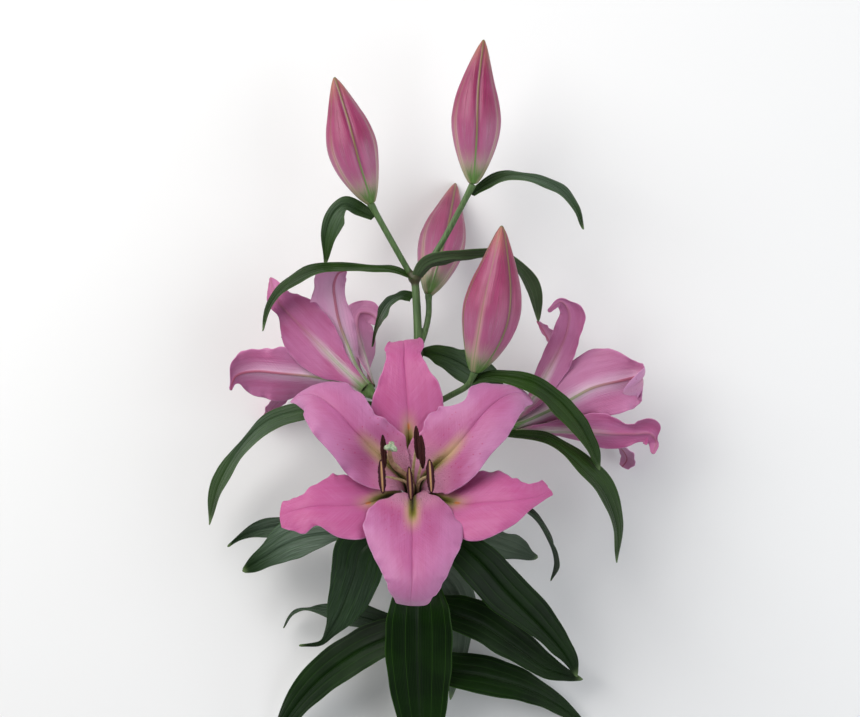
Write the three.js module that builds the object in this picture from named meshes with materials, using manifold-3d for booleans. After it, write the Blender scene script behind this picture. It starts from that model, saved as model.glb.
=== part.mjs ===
// A cut stem of a pink Oriental lily, lying on its back: three open blooms, four buds and its leaves.
// Millimetres, +Z up. The stem runs along +Y, its cut end at -Y, and the blooms' side faces up.
// The origin is the middle of the footprint, on the surface that the lily lies on.
import * as THREE from 'three';
import { mergeVertices } from 'three/addons/utils/BufferGeometryUtils.js';
import Module from 'manifold-3d';

const wasm = await Module();
wasm.setup();

// ---------------------------------------------------------------- driving dimensions
const FOOTPRINT = { x: 4, y: 0.5, z: 0 };
const SEAT_GAP = 0.3;
const LEAF_THICKNESS = 0.8;
const TEPAL_THICKNESS = 0.9;
const LEAF_STEPS = { along: 12, across: 2 };
const TEPAL_STEPS = { along: 12, across: 4 };

const STEM_SIDES = 10;
const STEM_STEPS = 20;
const PEDICEL_SIDES = 8;
const PEDICEL_STEPS = 6;
const STEM_END_RADIUS = 5;
const STEM_TOP_RADIUS = 2.9;
const STEM_REST_HEIGHT = STEM_END_RADIUS * Math.cos(Math.PI / STEM_SIDES);
const PEDICEL_RADIUS = 2.5;
const RECEPTACLE = { radius: 6, shoulder: 5, foot: -9, middle: -4, top: -1 };
const RECEPTACLE_SIDES = 12;

// Edges wave by this much, most of all halfway along.
const PETAL_WAVE = 2;
const SEPAL_WAVE = 1.2;
const WAVES_PER_TEPAL = 2.5;
const LEAST_HALF_WIDTH = 0.8;

const BUD_SIDES = 18;
const BUD_LOBE_DEPTH = 0.035;

const FILAMENT = { radius: 0.9, tipRadius: 0.6, sides: 5, steps: 5 };
const ANTHER = { length: 22, halfWidth: 2.3, halfDepth: 1.7, sides: 6, endFullness: 0.25 };
const STAMEN_RING = { inner: 2.3, outer: 4.3, height: 2, sides: 12 };
const STAMEN_FOOT = RECEPTACLE.top + 2 * SEAT_GAP;
const STAMEN_WAIST = { along: 26, out: 4.7 };
const OVARY = { radius: 1.9, share: 0.25 };
const STYLE = { radius: 1.6, sides: 8, steps: 10 };
const STIGMA = { radius: 4.6, lobeDepth: 0.18, sides: 12 };

// ---------------------------------------------------------------- materials
const finish = (color, roughness) => ({ color, roughness, metalness: 0 });
const FINISHES = {
  stem: finish(0x4d6b3a, 0.6),
  leaf: finish(0x1f3a17, 0.45),
  leafUnder: finish(0x44543f, 0.6),
  petal: finish(0xc470a6, 0.55),
  sepal: finish(0xbd6aa0, 0.55),
  bud: finish(0xb9558a, 0.5),
  filament: finish(0xa0905f, 0.55),
  pistil: finish(0x9fae7a, 0.5),
  anther: finish(0x3b1114, 0.75),
};

// ---------------------------------------------------------------- curves and frames
const vector = (x, y, z) => new THREE.Vector3(x, y, z);
const fromRow = (row) => vector(row[0], row[1], row[2]);

// Uniform Catmull-Rom through rows of numbers, read at a place from 0 to 1.
function readStations(rows, place) {
  const last = rows.length - 1;
  const at = Math.min(place * last, last - 1e-9);
  const i = Math.floor(at);
  const t = at - i;
  const before = rows[Math.max(i - 1, 0)];
  const after = rows[Math.min(i + 2, last)];
  return rows[i].map((p1, k) => {
    const p0 = before[k];
    const p2 = rows[i + 1][k];
    const p3 = after[k];
    const slope = p2 - p0;
    const bend = 2 * p0 - 5 * p1 + 4 * p2 - p3;
    const twist = 3 * p1 - p0 - 3 * p2 + p3;
    return p1 + 0.5 * t * (slope + t * (bend + t * twist));
  });
}

function sampleStations(rows, steps) {
  return Array.from({ length: steps + 1 }, (_, i) => readStations(rows, i / steps));
}

// The directions along a line of points, and one normal carried along it without twist.
function carryFrames(points, firstNormal) {
  const tangents = points.map((_, i) => {
    const next = points[Math.min(i + 1, points.length - 1)];
    const previous = points[Math.max(i - 1, 0)];
    return next.clone().sub(previous).normalize();
  });
  const normals = [];
  let normal = firstNormal.clone();
  for (const tangent of tangents) {
    normal = normal.clone().addScaledVector(tangent, -normal.dot(tangent)).normalize();
    normals.push(normal);
  }
  return { tangents, normals };
}

// ---------------------------------------------------------------- closed meshes
function geometryFrom(points, triangles) {
  const geometry = new THREE.BufferGeometry();
  const places = points.flatMap((point) => [point.x, point.y, point.z]);
  geometry.setAttribute('position', new THREE.Float32BufferAttribute(places, 3));
  geometry.setIndex(triangles.flat());
  return geometry;
}

// Rings of equally many points, joined in order, with a fan at each end.
function loft(rings) {
  const sides = rings[0].length;
  const points = rings.flat();
  const triangles = [];
  for (let ring = 0; ring < rings.length - 1; ring += 1) {
    for (let side = 0; side < sides; side += 1) {
      const a = ring * sides + side;
      const b = ring * sides + ((side + 1) % sides);
      triangles.push([a, b, b + sides], [a, b + sides, a + sides]);
    }
  }
  for (const [ring, isLast] of [[rings[0], false], [rings.at(-1), true]]) {
    const middle = ring.reduce((sum, point) => sum.add(point), vector(0, 0, 0)).divideScalar(sides);
    const offset = isLast ? (rings.length - 1) * sides : 0;
    for (let side = 0; side < sides; side += 1) {
      const a = offset + side;
      const b = offset + ((side + 1) % sides);
      triangles.push(isLast ? [a, b, points.length] : [b, a, points.length]);
    }
    points.push(middle);
  }
  return geometryFrom(points, triangles);
}

// A round rod along points: the radius at each one, or a rule for radius by place and angle.
function rod(points, radii, sides, firstNormal = vector(0, 0, 1)) {
  const { tangents, normals } = carryFrames(points, firstNormal);
  const rings = points.map((point, i) => {
    const across = tangents[i].clone().cross(normals[i]);
    return Array.from({ length: sides }, (_, side) => {
      const angle = ((side + 0.5) / sides) * 2 * Math.PI;
      const radius = typeof radii === 'function' ? radii(i / (points.length - 1), angle) : radii[i];
      return point
        .clone()
        .addScaledVector(normals[i], -radius * Math.cos(angle))
        .addScaledVector(across, -radius * Math.sin(angle));
    });
  });
  return loft(rings);
}

// A thin blade. Its stations run from root to tip:
// x, y, z, half width, roll in degrees, and cup (how far the edges rise, as a share of the half width).
function blade({ stations, face, wave = { size: 0, count: 0, phase: 0 }, steps, thickness }) {
  const rows = sampleStations(stations, steps.along);
  const ribs = rows.map(fromRow);
  const { tangents, normals } = carryFrames(ribs, face);
  const upper = [];
  const lower = [];
  rows.forEach(([, , , halfWidth, roll, cup], i) => {
    const place = i / steps.along;
    const normal = normals[i].clone().applyAxisAngle(tangents[i], THREE.MathUtils.degToRad(roll));
    const side = tangents[i].clone().cross(normal);
    for (let j = 0; j <= steps.across; j += 1) {
      const s = (2 * j) / steps.across - 1;
      const swing = 2 * Math.PI * (wave.count * place + wave.phase * Math.sign(s));
      const ripple = wave.size * Math.sin(swing) * Math.sin(Math.PI * place) * s * s;
      const middle = ribs[i]
        .clone()
        .addScaledVector(side, s * Math.max(halfWidth, LEAST_HALF_WIDTH))
        .addScaledVector(normal, cup * halfWidth * s * s + ripple);
      upper.push(middle.clone().addScaledVector(normal, thickness / 2));
      lower.push(middle.clone().addScaledVector(normal, -thickness / 2));
    }
  });
  return slab(upper, lower, steps);
}

// Two alike grids of points, joined round their edge, with alike triangles on both.
function slab(upper, lower, { along, across }) {
  const row = across + 1;
  const count = upper.length;
  const triangles = [];
  for (let i = 0; i < along; i += 1) {
    for (let j = 0; j < across; j += 1) {
      const a = i * row + j;
      const b = a + row;
      triangles.push([a, a + 1, b + 1], [a, b + 1, b]);
      triangles.push([count + a, count + b + 1, count + a + 1], [count + a, count + b, count + b + 1]);
    }
  }
  const rim = [];
  for (let j = 0; j < across; j += 1) rim.push(j);
  for (let i = 0; i < along; i += 1) rim.push(i * row + across);
  for (let j = across; j > 0; j -= 1) rim.push(along * row + j);
  for (let i = along; i > 0; i -= 1) rim.push(i * row);
  rim.forEach((a, k) => {
    const b = rim[(k + 1) % rim.length];
    triangles.push([a, count + b, b], [a, count + a, count + b]);
  });
  return geometryFrom([...upper, ...lower], triangles);
}

// ---------------------------------------------------------------- joining and cutting
function solidFrom(geometry) {
  const bare = geometry.clone();
  bare.deleteAttribute('normal');
  bare.deleteAttribute('uv');
  const merged = mergeVertices(bare, 1e-4);
  const vertProperties = new Float32Array(merged.attributes.position.array);
  const triVerts = new Uint32Array(merged.index.array);
  return new wasm.Manifold(new wasm.Mesh({ numProp: 3, vertProperties, triVerts }));
}

function geometryOf(solid) {
  const mesh = solid.getMesh();
  const geometry = new THREE.BufferGeometry();
  geometry.setAttribute('position', new THREE.BufferAttribute(mesh.vertProperties, 3));
  geometry.setIndex(new THREE.BufferAttribute(mesh.triVerts, 1));
  return geometry;
}

const joinAll = (solids) => solids.reduce((whole, solid) => whole.add(solid));

// What is left of a solid beside another, as its largest piece.
function cutAway(solid, tool) {
  const pieces = solid.subtract(tool).decompose();
  return pieces.reduce((largest, piece) => (piece.volume() > largest.volume() ? piece : largest));
}

const lily = new THREE.Group();
lily.position.set(-FOOTPRINT.x, -FOOTPRINT.y, -FOOTPRINT.z);

function addPiece(name, geometry, look) {
  const piece = new THREE.Mesh(geometry, new THREE.MeshStandardMaterial(look));
  piece.name = name;
  lily.add(piece);
}

// ---------------------------------------------------------------- the stem and its forks
const STEM_STRAIGHT = [
  [-8, -310, STEM_REST_HEIGHT],
  [-8, -285, STEM_REST_HEIGHT],
];
const STEM_PATH = [
  [-8, -258, STEM_REST_HEIGHT],
  [-8, -205, 12],
  [-8, -150, 30],
  [-8.5, -100, 46],
  [-8.5, -50, 60],
  [-8.5, 0, 70],
  [-8.5, 50, 77],
  [-8.5, 100, 79],
  [-11, 144, 78],
];

// Where each bud's or bloom's own stalk leaves the stem, and where it ends.
const PEDICELS = {
  bud_a: [[-11, 143, 78], [-16, 150, 79], [-28, 171, 81], [-42, 196, 84]],
  bud_b: [[-10, 143, 78], [-4, 150, 78], [9, 170, 78], [20, 190, 80], [30, 209, 84]],
  bud_c: [[-9, 92, 79], [-4, 104, 77], [-1, 118, 72], [-1, 131, 66]],
  bud_d: [[-8, 44, 76], [0, 52, 82], [14, 60, 90], [26, 67, 96], [31, 76, 100]],
  bloom_front: [[-8, -34, 64], [-9, -30, 76], [-11, -20, 86], [-12, -9, 95]],
  bloom_left: [[-9, 30, 74], [-20, 43, 80], [-31, 52, 84], [-41, 61, 82.5]],
  bloom_right: [[-8, 14, 72], [14, 23, 78], [36, 30, 83], [53, 35.5, 81]],
};

// Each bloom's foot, the way that it faces, and the way that counts as azimuth 0 round it.
const BLOOMS = {
  front: { foot: [-12, -9, 95], facing: [0, 0.42, 0.907], zero: [1, 0, 0] },
  left: { foot: [-46, 65, 79], facing: [-0.694, 0.583, -0.423], zero: [0, 0, 1] },
  right: { foot: [59, 38, 78], facing: [0.834, 0.354, -0.423], zero: [0, 0, 1] },
};

function bloomFrame({ foot, facing, zero }) {
  const axis = fromRow(facing).normalize();
  const first = fromRow(zero).addScaledVector(axis, -fromRow(zero).dot(axis)).normalize();
  const second = axis.clone().cross(first);
  const place = (along, u, v) => fromRow(foot)
    .addScaledVector(axis, along)
    .addScaledVector(first, u)
    .addScaledVector(second, v);
  const outward = (azimuth) => first
    .clone()
    .multiplyScalar(Math.cos(azimuth))
    .addScaledVector(second, Math.sin(azimuth));
  return { axis, first, place, outward };
}

function mainStem(extra) {
  const curve = sampleStations(STEM_PATH, STEM_STEPS);
  const points = [...STEM_STRAIGHT, ...curve].map(fromRow);
  const foot = points[0].y;
  const top = points.at(-1).y;
  const radii = points.map(({ y }) => {
    const radius = THREE.MathUtils.mapLinear(y, foot, top, STEM_END_RADIUS, STEM_TOP_RADIUS);
    return radius + extra;
  });
  return solidFrom(rod(points, radii, STEM_SIDES));
}

function pedicel(path, extra) {
  const points = sampleStations(path, PEDICEL_STEPS).map(fromRow);
  const radii = points.map(() => PEDICEL_RADIUS + extra);
  return solidFrom(rod(points, radii, PEDICEL_SIDES, vector(0.1, 0.2, 1)));
}

// The swollen end of a stalk, under a bloom's petals.
function receptacle(bloom, extra) {
  const { place, first } = bloomFrame(bloom);
  const { radius, shoulder, foot, middle, top } = RECEPTACLE;
  const points = [foot, middle, top + extra].map((height) => place(height, 0, 0));
  const radii = [PEDICEL_RADIUS, shoulder, radius].map((r) => r + extra);
  return solidFrom(rod(points, radii, RECEPTACLE_SIDES, first));
}

// The ring of growth where bracts and stalks leave the stem.
function collar([x, y, z], radius, extra) {
  const geometry = new THREE.SphereGeometry(radius + extra, 10, 6);
  geometry.translate(x, y, z);
  return solidFrom(geometry);
}

const COLLARS = [
  [[-11, 144, 78], 4.8],
  [[-8.5, 90, 79], 4.2],
  [[-8.5, 42, 76], 4.4],
  [[-8.5, 22, 73.5], 4.6],
];

function stemSolid(extra) {
  return joinAll([
    mainStem(extra),
    ...Object.values(PEDICELS).map((path) => pedicel(path, extra)),
    ...Object.values(BLOOMS).map((bloom) => receptacle(bloom, extra)),
    ...COLLARS.map(([place, radius]) => collar(place, radius, extra)),
  ]);
}

const stem = stemSolid(0);
const stemSeat = stemSolid(SEAT_GAP);
addPiece('stem', geometryOf(stem), FINISHES.stem);

// ---------------------------------------------------------------- leaves
// Stations: x, y, z, half width, roll, cup. The face is the way that the upper side looks at the root.
const LEAVES = {
  bract_bud_a: {
    face: [-0.3, 0.6, 0.75],
    stations: [
      [-40, 187, 82, 3.5, 0, 0.2], [-50, 192, 79, 5.5, 0, 0.2], [-61, 196, 81, 7.5, 0, 0.2],
      [-70, 188, 81, 7.5, 0, 0.2], [-75, 172, 77, 6.5, 0, 0.2], [-75, 154, 70, 1, 0, 0],
    ],
  },
  bract_bud_b: {
    face: [0.2, 0.9, 0.45],
    stations: [
      [30, 203, 81, 3.5, 0, 0.2], [42, 211, 78, 5.5, 0, 0.2], [58, 217, 84, 7, 0, 0.2],
      [78, 214, 86, 7, 0, 0.2], [94, 206, 82, 6.5, 0, 0.2], [104, 193, 76, 5, 0, 0.2],
      [110, 179, 69, 1, 0, 0],
    ],
  },
  leaf_fork_left: {
    face: [0, 0.85, 0.5],
    stations: [
      [-13, 144, 79, 4, 0, 0.2], [-30, 150, 84, 6.5, 0, 0.2], [-53, 151, 88, 8.5, 0, 0.2],
      [-78, 150, 93, 9.5, 0, 0.2], [-98, 141, 92, 9, 0, 0.2], [-112, 126, 89, 6.5, 0, 0.2],
      [-119, 106, 82, 1, 0, 0],
    ],
  },
  leaf_fork_right: {
    face: [0, 0.93, -0.36],
    stations: [
      [-9, 144, 80, 4, 0, 0.2], [-2, 153, 88, 7, 0, 0.2], [11, 157, 92, 8, 5, 0.2],
      [27, 158, 91, 8, 30, 0.2], [44, 159, 88, 9, 50, 0.2], [63, 151, 80, 8, 55, 0.2],
      [74, 134, 71, 6, 55, 0.2], [78, 113, 62, 1, 55, 0],
    ],
  },
  bract_stem_left: {
    face: [-0.3, 0.5, 0.8],
    stations: [
      [-13, 130, 78, 4, 0, 0.2], [-20, 132, 76, 6.5, 0, 0.2], [-30, 127, 70, 8.5, 0, 0.2],
      [-37, 115, 61, 7, 0, 0.2], [-42, 95, 49, 1, 0, 0],
    ],
  },
  leaf_behind_bud: {
    face: [0, 0.3, 0.95],
    stations: [
      [-6, 91, 80, 4, 0, 0.2], [4, 90, 79, 8, 0, 0.2], [18, 85, 75, 12, 0, 0.15],
      [31, 77, 70, 13, 0, 0.15], [45, 67, 63, 10, 0, 0.15], [56, 56, 55, 1, 0, 0],
    ],
  },
  bract_bud_d: {
    face: [0.2, 0.55, 0.8],
    stations: [
      [30, 71, 96, 3.5, 0, 0.2], [47, 75, 101, 6.5, 0, 0.2], [70, 71, 107, 9, 0, 0.2],
      [89, 59, 99, 10.5, 0, 0.2], [104, 43, 92, 10.5, 0, 0.2], [114, 26, 85, 8, 0, 0.2],
      [121, 7, 77, 1, 0, 0],
    ],
  },
  bract_bloom_right: {
    face: [0.3, 0.8, 0.5],
    stations: [
      [42, 31, 81, 3.5, 0, 0.2], [58, 28, 88, 6, 0, 0.2], [84, 26, 90, 9, 0, 0.2],
      [106, 12, 84, 11, 0, 0.2], [124, -8, 74, 11, 0, 0.2], [134, -34, 64, 8, 0, 0.2],
      [135, -61, 54, 1, 0, 0],
    ],
  },
  bract_bloom_left: {
    face: [-0.4, 0.55, 0.73],
    stations: [
      [-34, 51, 84, 3.5, 0, 0.2], [-58, 52, 88, 7, 0, 0.2], [-87, 51, 88, 10, 0, 0.2],
      [-115, 43, 82, 12, 0, 0.2], [-136, 23, 72, 11.5, 0, 0.2], [-152, -4, 60, 9, 0, 0.2],
      [-160, -34, 48, 1, 0, 0],
    ],
  },
  leaf_left_upper: {
    face: [-0.1, 0.4, 0.9],
    stations: [
      [-11, -60, 56, 4, 0, 0.2], [-40, -45, 56, 8, 0, 0.2], [-76, -33, 54, 11, 0, 0.15],
      [-107, -34, 48, 11, 0, 0.15], [-130, -40, 41, 8, 0, 0.15], [-148, -51, 34, 1, 0, 0],
    ],
  },
  leaf_left_lower: {
    face: [0, 0.3, 0.95],
    stations: [
      [-11, -53, 63, 4, 0, 0.2], [-32, -44, 68, 11, 0, 0.15], [-64, -39, 69, 16, 0, 0.1],
      [-96, -44, 62, 17, 0, 0.1], [-118, -56, 54, 12, 0, 0.1], [-136, -68, 46, 1.5, 0, 0],
    ],
  },
  leaf_down_left: {
    face: [-0.1, 0.2, 0.97],
    stations: [
      [-11, -42, 67, 4, 0, 0.2], [-29, -39, 76, 12, 0, 0.15], [-48, -49, 79, 18, 0, 0.1],
      [-54, -68, 74, 19, 0, 0.1], [-62, -90, 66, 15, 0, 0.1], [-72, -110, 56, 7, 0, 0.1],
      [-80, -120, 50, 4, 0, 0], [-95, -122, 46, 1, 0, 0],
    ],
  },
  leaf_left_thin: {
    face: [0, 0.6, 0.8],
    stations: [
      [-11, -114, 42, 4, 0, 0.2], [-38, -106, 34, 9, 0, 0.2], [-64, -100, 28, 10, 0, 0.2],
      [-88, -97, 26, 7, 20, 0.2], [-101, -101, 24, 6, 40, 0.2], [-108, -112, 20, 1, 40, 0],
    ],
  },
  leaf_bottom_left: {
    face: [-0.2, 0.5, 0.85],
    stations: [
      [-11, -105, 47, 5, 0, 0.2], [-30, -115, 50, 14, 0, 0.15], [-54, -127, 46, 16, 0, 0.1],
      [-82, -149, 36, 15, 0, 0.1], [-104, -176, 24, 10, 0, 0.1], [-118, -204, 14, 1, 0, 0],
    ],
  },
  leaf_bottom_centre: {
    face: [0, 0.6, 0.8],
    stations: [
      [-9, -67, 57, 6, 0, 0.2], [-8, -81, 70, 17, 0, 0.15], [-8, -99, 72, 23, 0, 0.1],
      [-8, -127, 62, 24, 0, 0.1], [-7, -161, 48, 20, 0, 0.1], [-5, -196, 35, 12, 0, 0.1],
      [-4, -226, 26, 1, 0, 0],
    ],
  },
  leaf_big_right: {
    face: [0.2, 0.3, 0.93],
    stations: [
      [-6, -38, 68, 4, 0, 0.2], [11, -40, 76, 12, 0, 0.15], [33, -56, 77, 17, 0, 0.1],
      [55, -81, 69, 17, 0, 0.1], [79, -106, 59, 14, 0, 0.1], [96, -126, 50, 9, 0, 0.1],
      [107, -145, 42, 1, 0, 0],
    ],
  },
  leaf_right_second: {
    face: [0.2, 0.5, 0.85],
    stations: [
      [-6, -90, 53, 5, 0, 0.2], [13, -96, 57, 13, 0, 0.15], [36, -105, 54, 15, 0, 0.1],
      [61, -122, 46, 13, 0, 0.1], [86, -140, 36, 9, 0, 0.1], [112, -149, 28, 1, 0, 0],
    ],
  },
  leaf_bottom_right: {
    face: [0.1, 0.6, 0.8],
    stations: [
      [-6, -130, 38, 5, 0, 0.2], [15, -140, 42, 14, 0, 0.15], [40, -145, 38, 16, 0, 0.1],
      [70, -155, 28, 13, 0, 0.1], [96, -170, 18, 8, 0, 0.1], [119, -189, 10, 1, 0, 0],
    ],
  },
  leaf_under_right: {
    face: [-0.2, -0.2, -0.95],
    stations: [
      [-6, -59, 55, 4, 0, 0.2], [7, -67, 46, 10, 0, 0.15], [20, -84, 38, 14, 0, 0.1],
      [25, -107, 30, 15, 0, 0.1], [23, -132, 21, 12, 0, 0.1], [15, -166, 12, 1, 0, 0],
    ],
  },
  leaf_right_twisted: {
    face: [0.3, 0.8, 0.4],
    stations: [
      [-6, -18, 68, 4, 0, 0.2], [25, -15, 76, 8, 0, 0.2], [54, -16, 72, 9, 0, 0.2],
      [75, -27, 64, 8, 0, 0.2], [87, -46, 56, 8, 0, 0.2], [91, -61, 50, 6, 0, 0.2],
      [88, -75, 44, 1, 0, 0],
    ],
  },
  leaf_right_grey: {
    face: [0, 0.3, -0.95],
    stations: [
      [-5, -50, 62, 4, 0, 0.2], [18, -41, 62, 9, 0, 0.15], [42, -43, 58, 13, 0, 0.1],
      [62, -51, 52, 11, 0, 0.1], [78, -58, 47, 1.5, 0, 0],
    ],
  },
};
const PALE_LEAVES = ['leaf_under_right', 'leaf_right_grey'];

for (const [name, { face, stations }] of Object.entries(LEAVES)) {
  const leaf = solidFrom(blade({
    stations,
    face: fromRow(face),
    steps: LEAF_STEPS,
    thickness: LEAF_THICKNESS,
  }));
  const look = PALE_LEAVES.includes(name) ? FINISHES.leafUnder : FINISHES.leaf;
  addPiece(name, geometryOf(cutAway(leaf, stemSeat)), look);
}

// ---------------------------------------------------------------- tepals
// Stations: along the bloom's axis, out from it, sideways, half width, roll, cup.
const TEPALS = {
  front: {
    petal_lower: {
      azimuth: -90,
      stations: [
        [-1.5, 5, 0, 3, 0, 0.4], [17, 8.5, 0, 6.5, 0, 0.45], [29, 18, 0, 17, 0, 0.3],
        [38, 32, 0, 28, 0, 0.1], [48, 52, 0, 31, 0, 0.05], [54, 70, 0, 28, 0, 0],
        [54, 84, 0, 23, 0, -0.1], [46, 94, -1, 15, 0, -0.2], [33, 94, -1, 1.5, 0, 0],
      ],
    },
    petal_upper_left: {
      azimuth: 150,
      stations: [
        [-1.5, 5, 0, 3, 0, 0.4], [17, 8.5, 0, 6.5, 0, 0.45], [30, 18, 0, 15, 0, 0.35],
        [42, 31, 0, 22, 0, 0.2], [52, 46, -2, 25, 0, 0.1], [57, 66, -8, 25, 0, 0],
        [54, 84, -11, 15, 0, -0.1], [47, 95, -8, 8, 0, -0.2], [38, 101, -4, 1, 0, 0],
      ],
    },
    petal_upper_right: {
      azimuth: 30,
      stations: [
        [-1.5, 5, 0, 3, 0, 0.4], [17, 8.5, 0, 6.5, 0, 0.45], [30, 18, 0, 15, 0, 0.35],
        [42, 30, -1, 21, 0, 0.2], [52, 45, 2, 25, 0, 0.1], [57, 62, 8, 25, 0, 0],
        [55, 80, 12, 18, 0, -0.1], [48, 93, 11, 10, 0, -0.2], [40, 99, 4, 1, 0, 0],
      ],
    },
    sepal_top: {
      azimuth: 90,
      stations: [
        [-2, 6.6, 0, 3.5, 0, 0.4], [16, 12.5, 0, 6.5, 0, 0.3], [27, 24, 2, 16, 0, 0.1],
        [36, 37, 3, 24, 0, 0.05], [44, 51, 4, 25, 0, 0.05], [49, 66, 5, 19, 0, 0.1],
        [50, 80, 6, 12.5, 0, 0.1], [46, 92, 6, 14, 0, -0.1], [38, 101, 7, 14, 0, -0.2],
        [26, 98, 7, 1.5, 0, 0],
      ],
    },
    sepal_lower_left: {
      azimuth: 210,
      stations: [
        [-2, 6.6, 0, 3.5, 0, 0.4], [16, 12.5, 0, 6.5, 0, 0.3], [26, 25, 1, 16, 0, 0.1],
        [34, 39, 2, 22, 0, 0.05], [42, 55, -2, 23, 0, 0], [45, 72, -10, 19, 0, 0],
        [42, 84, -15, 13.5, 0, -0.1], [34, 94, -19, 3, 0, 0],
      ],
    },
    sepal_lower_right: {
      azimuth: -30,
      stations: [
        [-2, 6.6, 0, 3.5, 0, 0.4], [16, 12.5, 0, 6.5, 0, 0.3], [26, 27, -2, 16, 0, 0.1],
        [35, 41, -1, 22, 0, 0.05], [42, 56, 6, 24, 0, 0], [46, 72, 15, 18, 0, 0],
        [43, 83, 25, 11, 0, -0.1], [34, 88, 38, 1.5, 0, 0],
      ],
    },
  },
  left: {
    sepal_near: {
      azimuth: 0,
      stations: [
        [-2, 6.6, 0, 3.5, 0, 0.4], [20, 13, 1, 8, 0, 0.25], [42, 21, 3, 17, 0, 0.2],
        [62, 30, 5, 19, 0, 0.1], [78, 36, 7, 15, 0, 0], [89, 38, 12, 10, 0, -0.2],
        [97, 36, 17, 1, 0, 0],
      ],
    },
    petal_lower: {
      azimuth: -68,
      stations: [
        [-1.5, 5, 0, 3, 0, 0.4], [18, 9, 0, 6, 12, 0.4], [34, 18.5, 0, 12.5, 28, 0.35],
        [53, 33, 0, 17, 32, 0.15], [68, 45, 0, 17, 32, 0], [75, 57, 0, 11, 30, -0.1],
        [69, 68, 0, 1.5, 30, 0],
      ],
    },
    petal_upper: {
      azimuth: 60,
      stations: [
        [-1.5, 5, 0, 3, 0, 0.4], [14, 8, 0, 5.5, -10, 0.4], [28, 17, 0, 11, -30, 0.3],
        [42, 27, 0, 15, -40, 0.2], [52, 37, 0, 17, -40, 0.1], [60, 48, 0, 15, -40, 0],
        [61, 58, 0, 11, -40, 0], [56, 64, 0, 1.5, -40, 0],
      ],
    },
    sepal_upper: {
      azimuth: 128,
      stations: [
        [-2, 6.6, 0, 3.5, 0, 0.4], [18, 14, 0, 6.5, 0, 0.25], [36, 23, 0, 12, 0, 0.2],
        [50, 33, 0, 14, 0, 0.1], [57, 46, 0, 11, 0, 0], [50, 54, 0, 9, 0, -0.2],
        [40, 52, 0, 1.5, 0, 0],
      ],
    },
    sepal_lower: {
      azimuth: -128,
      stations: [
        [-2, 6.6, 0, 3.5, 0, 0.4], [18, 14, -1, 6, 0, 0.2], [38, 29, -3, 11, 0, 0.15],
        [54, 41, -2, 15, 0, 0.1], [64, 54, 0, 13, 0, 0], [69, 68, 0, 8, 0, -0.1],
        [70, 83, 0, 1, 0, 0],
      ],
    },
    petal_far: {
      azimuth: 180,
      stations: [
        [-1.5, 5, 0, 3, 0, 0.4], [18, 8, 0, 6.5, 0, 0.4], [40, 15, 0, 14, 0, 0.35],
        [60, 26, 0, 19, 0, 0.15], [76, 38, 0, 16, 0, 0], [92, 42, 0, 11, 0, 0],
        [104, 37, 0, 1, 0, 0],
      ],
    },
  },
  right: {
    petal_near: {
      azimuth: 0,
      stations: [
        [-1.5, 5, 0, 3, 0, 0.4], [18, 8, 0, 6.5, 0, 0.4], [38, 15, -1, 15, 0, 0.35],
        [58, 24, -3, 21, 0, 0.25], [76, 33, 0, 22, 0, 0.05], [86, 36, 5, 14, 0, -0.1],
        [91, 36, 10, 1.5, 0, 0],
      ],
    },
    sepal_upper: {
      azimuth: -60,
      stations: [
        [-2, 6.6, 0, 3.5, 0, 0.4], [20, 14, 0, 6.5, 15, 0.3], [35, 26.5, -2, 10, 35, 0.3],
        [48, 40.5, -2, 12, 40, 0.2], [56, 55, 0, 12, 40, 0.1], [60, 68, -1, 12, 40, 0],
        [56, 77, -4, 9, 40, 0], [46, 72, -6, 1.5, 40, 0],
      ],
    },
    sepal_lower: {
      azimuth: 60,
      stations: [
        [-2, 6.6, 0, 3.5, 0, 0.4], [20, 14, 0, 7, -5, 0.3], [42, 26, 0, 12, -15, 0.3],
        [60, 38, -1, 14, -25, 0.2], [74, 47, -3, 11, -30, 0], [82, 54, -7, 9, -30, -0.1],
        [86, 59, 0, 7, -20, 0], [80, 64, 4, 1.5, -20, 0],
      ],
    },
    petal_lower: {
      azimuth: 120,
      stations: [
        [-1.5, 5, 0, 3, 0, 0.4], [18, 8, 0, 6.5, 0, 0.4], [40, 16, 0, 14, 0, 0.35],
        [60, 28, 0, 18, 0, 0.15], [77, 42, 0, 14, 0, 0], [89, 56, 0, 8, 0, 0],
        [93, 67, 0, 6, 0, 0], [88, 72, 0, 1.5, 0, 0],
      ],
    },
    petal_upper: {
      azimuth: -120,
      stations: [
        [-1.5, 5, 0, 3, 0, 0.4], [18, 8, 0, 6.5, 0, 0.4], [40, 16, 0, 14, 0, 0.35],
        [57, 30, 0, 17, 0, 0.15], [66, 46, 0, 13, 0, 0], [69, 61, 0, 8, 0, 0],
        [70, 72, 0, 1.5, 0, 0],
      ],
    },
    sepal_far: {
      azimuth: 180,
      stations: [
        [-2, 6.6, 0, 3.5, 0, 0.4], [20, 14, 0, 7, 0, 0.3], [42, 24, 0, 12, 0, 0.2],
        [60, 34, 0, 14, 0, 0.1], [76, 39.5, 0, 12, 0, 0], [92, 41.2, 0, 9, 0, 0],
        [104, 37, 0, 1, 0, 0],
      ],
    },
  },
};

function tepal(bloom, { azimuth, stations }, wave) {
  const { axis, place, outward } = bloomFrame(bloom);
  const out = outward(THREE.MathUtils.degToRad(azimuth));
  const sideways = axis.clone().cross(out);
  const worldRows = stations.map(([along, away, side, ...shape]) => {
    const point = place(along, 0, 0).addScaledVector(out, away).addScaledVector(sideways, side);
    return [point.x, point.y, point.z, ...shape];
  });
  const face = out.clone().negate();
  return blade({ stations: worldRows, face, wave, steps: TEPAL_STEPS, thickness: TEPAL_THICKNESS });
}

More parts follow.
